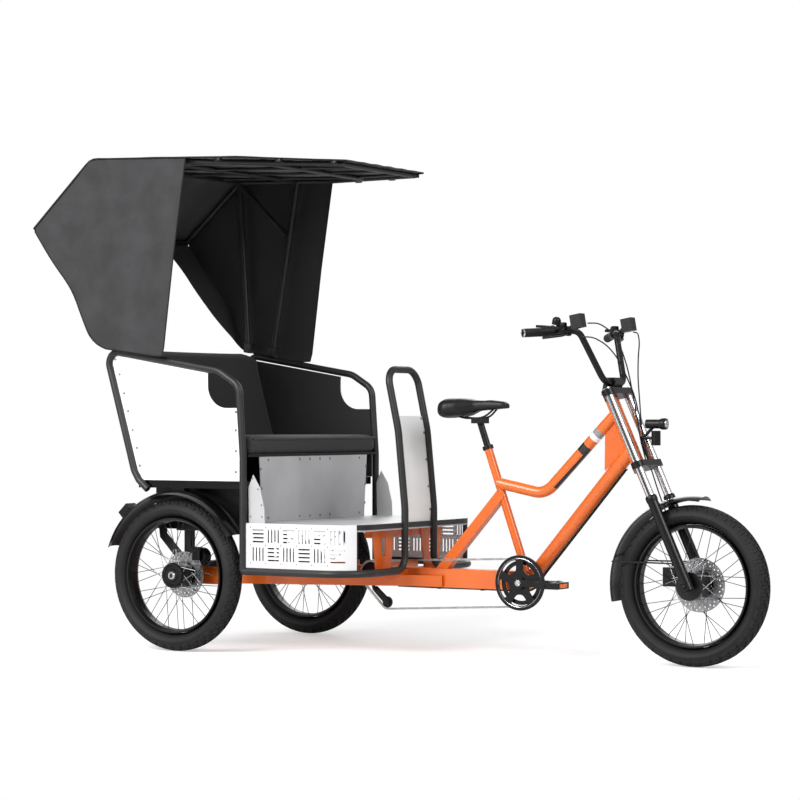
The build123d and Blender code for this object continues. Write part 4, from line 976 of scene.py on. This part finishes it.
# Each section is squarer than an ellipse, and the seat's middle dips along a shallow channel.
for step in range(saddle_steps + 1):
    x = saddle_length * step / saddle_steps
    half, top, low = between(saddle_widths, x), between(saddle_tops, x), between(saddle_lows, x)
    middle, tall = (top * 0.42 + low * 0.58), (top - low)
    for number in range(saddle_round):
        turn = 2 * math.pi * number / saddle_round
        across, up = math.cos(turn), math.sin(turn)
        wide = half * math.copysign(abs(across) ** 0.62, across)
        dip = 0.004 * math.exp(-(wide / 0.012) ** 2) if up > 0.3 and 0.03 < x < 0.2 else 0
        rise = tall * 0.58 * abs(up) ** 0.75 if up > 0 else -tall * 0.42 * abs(up) ** 0.6
        saddle_points.append((saddle_rear + x, wide * (1 if up > -0.2 else 0.93), middle + rise - dip))
saddle_faces = [tuple(range(saddle_round))[::-1],
                tuple(saddle_steps * saddle_round + number for number in range(saddle_round))]
for step in range(saddle_steps):
    for number in range(saddle_round):
        after = (number + 1) % saddle_round
        saddle_faces.append((step * saddle_round + number, step * saddle_round + after,
                             (step + 1) * saddle_round + after, (step + 1) * saddle_round + number))
saddle_pad = mesh_piece("saddle_pad", saddle_points, [], saddle_faces)
modify(saddle_pad, "SMOOTH", iterations=3)
bpy.ops.object.mode_set(mode="EDIT")
bpy.ops.mesh.select_all(action="SELECT")
bpy.ops.mesh.normals_make_consistent(inside=False)
bpy.ops.object.mode_set(mode="OBJECT")
bpy.ops.object.shade_smooth_by_angle(angle=math.radians(60))
saddle_cover = coating("black_synthetic_leather", "#101011", "#0B0B0C", 30, 0.44, 1.1, 0.06, reflects=0.35)
saddle_pad.data.materials.append(saddle_cover)
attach(saddle_pad, "chassis")
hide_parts("saddle")
for side_name, side in sides:
    rail = rounded([(saddle_rear + 0.034, side * 0.022, 0.934), (saddle_rear + 0.096, side * 0.022, 0.9063),
                    (saddle_rear + 0.190, side * 0.022, 0.9063), (saddle_rear + 0.236, side * 0.011, 0.948)],
                   0.03)
    tube(f"saddle_rail_{side_name}", rail, 0.004, black_metal, "chassis")

# ------------------------------------------------------------------ crankset guard
# A moulded black guard with five rounded windows screws to the outside of the chainring. A bright steel ring
# edges it, and a steel bolt holds the crank arm.
bb_place = Vector((0.5035, 0, 0.287))
guard_radius = 0.1035
window_corners = (          # reach from the middle in metres, and turn from the window's middle in radians
    (0.046, 0.30), (0.066, 0.40), (0.088, 0.47), (0.090, 0.16),
    (0.090, -0.16), (0.088, -0.47), (0.066, -0.40), (0.046, -0.30),
)
outlines = [[(guard_radius * math.cos(a * math.pi / 60), guard_radius * math.sin(a * math.pi / 60), 0)
             for a in range(120)]]
for number in range(5):
    middle_turn = math.radians(72 * number + 54)
    corners = [(reach * math.cos(middle_turn + spread), reach * math.sin(middle_turn + spread), 0)
               for reach, spread in window_corners]
    outlines.append(rounded(corners + corners[:2], 0.012, 4)[6:-1])
crank_guard = drawn("crank_guard", outlines, True, dimensions="2D", fill_mode="BOTH", extrude=0.0010,
                    bevel_depth=0.0007)
for vertex in crank_guard.data.vertices:
    vertex.co = bb_place + Vector((vertex.co.x, -0.0753 + vertex.co.z, vertex.co.y))
crank_guard.data.materials.append(black_metal)
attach(crank_guard, "crank")
edge_radius = 0.0915
ring_round = [bb_place + Vector((edge_radius * math.cos(a * math.pi / 48), -0.0772,
                                 edge_radius * math.sin(a * math.pi / 48))) for a in range(96)]
tube("crank_guard_edge", ring_round, 0.0011, bright_steel, "crank", closed=True)
lathe("crank_bolt", [(0.0, 0.002), (0.006, 0.002), (0.0085, 0.004), (0.0115, 0.0035), (0.0125, 0.0)],
      bb_place + Vector((0, -0.0893, 0)), (0, -1, 0), bright_steel, "crank", steps=24)

# ------------------------------------------------------------------ pedal reflectors
# Moulded amber acrylic reflectors clip into the front and rear bars of each pedal cage.
# Their faces are smooth and their edges slightly rounded.
amber = coating("amber_reflector_plastic", "#F07A1A", "#E86A10", 9, 0.18, 2.0, 0.08)
for side_name, side, reach in (("right", -1, 0.17), ("left", 1, -0.17)):
    for end in (-1, 1):
        bpy.ops.object.select_all(action="DESELECT")
        bpy.ops.mesh.primitive_cube_add(size=1)
        reflector = bpy.context.active_object
        reflector.name = f"pedal_reflector_{side_name}_{'front' if end > 0 else 'rear'}"
        centre = Vector((0.5035 + reach + end * 0.0493, side * 0.141, 0.287))
        for vertex in reflector.data.vertices:
            vertex.co = centre + Vector((vertex.co.x * 0.0046, vertex.co.y * 0.056, vertex.co.z * 0.015))
        modify(reflector, "BEVEL", width=0.0015, segments=2)
        reflector.data.materials.append(amber)
        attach(reflector, f"pedal_{side_name[0]}")

# ------------------------------------------------------------------ grips, bar ends and controls
# Ribbed rubber grips end in bright metal rings. Each side carries a forged brake lever on its perch and a
# moulded switch pod with a button and a paddle, clamped to the bar; the right side has a bell too.
crown_top = Vector((0.842078, 0, 0.997769))
bend_from_crown = (-0.048, 0.155, 0.230)
end_from_crown = (-0.177, 0.340, 0.218)
rib_pitch = 0.005
grip_rubber = coating("black_grip_rubber", "#121213", "#0D0D0E", 20, 0.6, 0.8, 0.04, reflects=0.35)


def block_piece(name, centre, size, turn, material, body, bevel):
    """A rounded moulded box: its middle, its size, its turn as a matrix and its edge radius."""
    bpy.ops.object.select_all(action="DESELECT")
    bpy.ops.mesh.primitive_cube_add(size=1)
    piece = bpy.context.active_object
    piece.name = name
    for vertex in piece.data.vertices:
        vertex.co = Vector([vertex.co[axis] * size[axis] for axis in range(3)])
    modify(piece, "BEVEL", width=bevel, segments=3)
    for vertex in piece.data.vertices:
        vertex.co = turn @ vertex.co + Vector(centre)
    bpy.ops.object.shade_smooth_by_angle(angle=math.radians(35))
    piece.data.materials.append(material)
    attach(piece, body)
    return piece


for side_name, side in sides:
    bar_bend = crown_top + Vector((1, side, 1)) * Vector(bend_from_crown)
    bar_end = crown_top + Vector((1, side, 1)) * Vector(end_from_crown)
    along = (bar_end - bar_bend).normalized()
    forward = Vector((0, 0, 1)).cross(along) * -side
    rise = along.cross(forward) * side
    ribs = [(0.0122, -0.125)]
    for number in range(25):
        rib = -0.1235 + number * rib_pitch
        ribs += [(0.0146, rib), (0.0160, rib + 0.001), (0.0160, rib + 0.003), (0.0146, rib + 0.004)]
    ribs += [(0.0158, 0.0015), (0.0122, 0.0015)]
    grip = lathe(f"grip_{side_name}", ribs, bar_end, along, grip_rubber, "steering", steps=32)
    if side > 0:
        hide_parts("grips")
    lathe(f"bar_end_ring_{side_name}",
          [(0.0094, 0.0), (0.0094, 0.0045), (0.0125, 0.0055), (0.0155, 0.0045), (0.0163, 0.0015)],
          bar_end, along, bright_steel, "steering", steps=32)
    level = Matrix((forward, along, rise)).transposed()
    pod = bar_bend + along * 0.070 + rise * -0.020 + forward * 0.004
    block_piece(f"switch_pod_{side_name}", pod, (0.030, 0.030, 0.026), level, black_plastic, "steering",
                0.006)
    block_piece(f"switch_button_{side_name}", pod - forward * 0.016 + rise * 0.002, (0.005, 0.014, 0.009),
                level, grip_rubber, "steering", 0.002)
    lever_run = ((0.086, 0.036, 0.006), (0.118, 0.048, 0.014), (0.165, 0.040, 0.020), (0.196, 0.046, 0.022))
    lever = rounded([tuple(bar_bend + along * out + forward * ahead - rise * drop)
                     for out, ahead, drop in lever_run], 0.02)
    tube(f"brake_lever_{side_name}", lever, 0.0052, black_metal, "steering")
    block_piece(f"lever_perch_{side_name}", bar_bend + along * 0.090 + forward * 0.024 - rise * 0.002,
                (0.036, 0.026, 0.020), level, black_metal, "steering", 0.004)
    block_piece(f"throttle_paddle_{side_name}", bar_bend + along * 0.098 - forward * 0.020 - rise * 0.018,
                (0.020, 0.012, 0.012), level, black_plastic, "steering", 0.004)
    lathe(f"bar_clamp_band_{side_name}", [(0.0125, 0.0), (0.0185, 0.0008), (0.0185, 0.0112), (0.0125, 0.012)],
          bar_bend + along * 0.036, along, black_plastic, "steering", steps=28)
bell_bend = crown_top + Vector((1, -1, 1)) * Vector(bend_from_crown)
bell_along = (crown_top + Vector((1, -1, 1)) * Vector(end_from_crown) - bell_bend).normalized()
lathe("bell_dome",
      [(0.0, 0.0205), (0.006, 0.0200), (0.011, 0.0175), (0.0145, 0.013), (0.0162, 0.006), (0.0168, -0.002)],
      bell_bend + bell_along * 0.084 + Vector((-0.008, 0, 0.034)), (0.2, -0.2, 0.95), black_metal, "steering",
      steps=32)

# ------------------------------------------------------------------ headlamp glass
# A clear domed acrylic lens over a bright reflector, held in the lamp's mouth by a screwed black bezel.
# The two are drawn as one surface of silvery plastic, as the lens is no thicker than a coin.
lamp_glass = coating("lamp_lens_over_reflector", "#C9CCD2", "#8F949C", 9, 0.08, 3.0, 0.2, 0.8)
lamp_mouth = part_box("headlamp")[1][0]
lamp_height = 0.885
lathe("headlamp_bezel",
      [(0.0165, 0.0035), (0.0195, 0.0035), (0.0215, 0.0005), (0.0215, -0.012), (0.0200, -0.016)],
      (lamp_mouth - 0.004, 0, lamp_height), (1, 0, 0), black_plastic, "steering", steps=40)
lathe("headlamp_lens",
      [(0.0, 0.0110), (0.006, 0.0100), (0.0115, 0.0070), (0.0150, 0.0035), (0.0172, -0.0006)],
      (lamp_mouth - 0.004, 0, lamp_height), (1, 0, 0), lamp_glass, "steering", steps=40)

# ------------------------------------------------------------------ canopy stays, bindings and brackets
# Slim lengthwise steel stays under the cloth keep it flat, and black tape is sewn round every free edge. The
# bows stand in feet that bolt to the cabin's tubes, and moulded clips hold the roof's sides.
binding_tape = coating("black_binding_tape", "#111112", "#0C0C0D", 30, 0.7, 0.8, 0.05, reflects=0.3)
roof_slope = (1.8955 - 1.9375) / (0.668 + 0.386)


def roof_level(x):
    """The height of the roof's cloth at a distance ahead of the rear axle."""
    return 1.9375 + (x + 0.386) * roof_slope


for number, share in enumerate((-0.66, -0.22, 0.22, 0.66)):
    stay = [(x + rear_axle_x, share * roof_half(x), roof_level(x) - 0.0125)
            for x in (-0.36, -0.1, 0.1, 0.3, 0.45, 0.632)]
    tube(f"canopy_stay_{number + 1}", stay, 0.0065, dark_coat, "chassis")
tube("hood_rear_binding", [(-0.6765 + rear_axle_x, y / 100, 1.6685) for y in range(-52, 53, 4)], 0.0042,
     binding_tape, "chassis")
for side_name, side in sides:
    roof_run = [chain_point(roof_line, n / 30) for n in range(31)]
    roof_edge = [(x + rear_axle_x, side * (roof_half(x) - 0.003), z - 0.0035) for x, z in roof_run]
    tube(f"roof_binding_{side_name}", roof_edge, 0.0033, binding_tape, "chassis")
    front_run = [chain_point(side_front, n / 24) for n in range(25)]
    rear_run = [chain_point(side_rear, n / 40) for n in range(38)]
    tube(f"curtain_binding_{side_name}",
         [(x + rear_axle_x, side * curtain_out, z) for x, z in rear_run[::-1] + front_run], 0.0026,
         binding_tape, "chassis")
    for place, (x, z) in (("front", (-0.199, 1.171)), ("rear", (-0.323, 1.191))):
        upright = Matrix.Rotation(math.radians(9), 3, "Y")
        block_piece(f"canopy_foot_{place}_{side_name}", (x + rear_axle_x + 0.004, side * 0.4795, z + 0.018),
                    (0.034, 0.036, 0.044), upright, dark_coat, "chassis", 0.004)
        lathe(f"canopy_foot_bolt_{place}_{side_name}",
              [(0.0, 0.006), (0.006, 0.006), (0.0075, 0.004), (0.0075, 0.0)],
              (x + rear_axle_x + 0.004, side * 0.4975, z + 0.022), (0, side, 0), bright_steel, "chassis",
              steps=6)
    for number, x in enumerate((-0.30, -0.02, 0.22, 0.44, 0.62)):
        clip_half = roof_half(x) - 0.012
        block_piece(f"roof_clip_{number + 1}_{side_name}",
                    (x + rear_axle_x, side * clip_half, roof_level(x) - 0.012),
                    (0.026, 0.018, 0.016), Matrix.Identity(3), black_plastic, "chassis", 0.003)

# ------------------------------------------------------------------ cushion piping and tail lamps
# A corded seam of the cover's own cloth edges the cushion. The lamps on the rear fenders have dark red
# acrylic lenses, pressed into black cases.
cushion_low, cushion_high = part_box("seat_cushion")
piping_inset = 0.006
piping_z = cushion_high[2] - 0.010
(rear_x, right_y), (fore_x, left_y) = ([place + piping_inset for place in cushion_low[:2]],
                                       [place - piping_inset for place in cushion_high[:2]])
piping_corners = [(rear_x, right_y), (fore_x, right_y), (fore_x, left_y), (rear_x, left_y)]
piping = rounded([(x, y, piping_z) for x, y in piping_corners + piping_corners[:2]], 0.03)[7:-1]
tube("cushion_piping", piping, 0.0035, seat_cloth, "chassis", closed=True)
red_lens = coating("dark_red_lamp_lens", "#5A0A0A", "#420606", 9, 0.15, 2.0, 0.06)
lamp_turn = math.radians(134)
lamp_reach = 0.344          # from the rear axle
lamp_out = Vector((math.cos(lamp_turn), 0, math.sin(lamp_turn)))
for side_name, side in sides:
    lamp_middle = Vector((rear_axle_x, side * track_half, tyre_radius)) + lamp_out * lamp_reach
    block_piece(f"tail_lamp_lens_{side_name}", lamp_middle + lamp_out * 0.0135, (0.044, 0.052, 0.006),
                Matrix.Rotation(math.radians(90) - lamp_turn, 3, "Y"), red_lens, "chassis", 0.002)
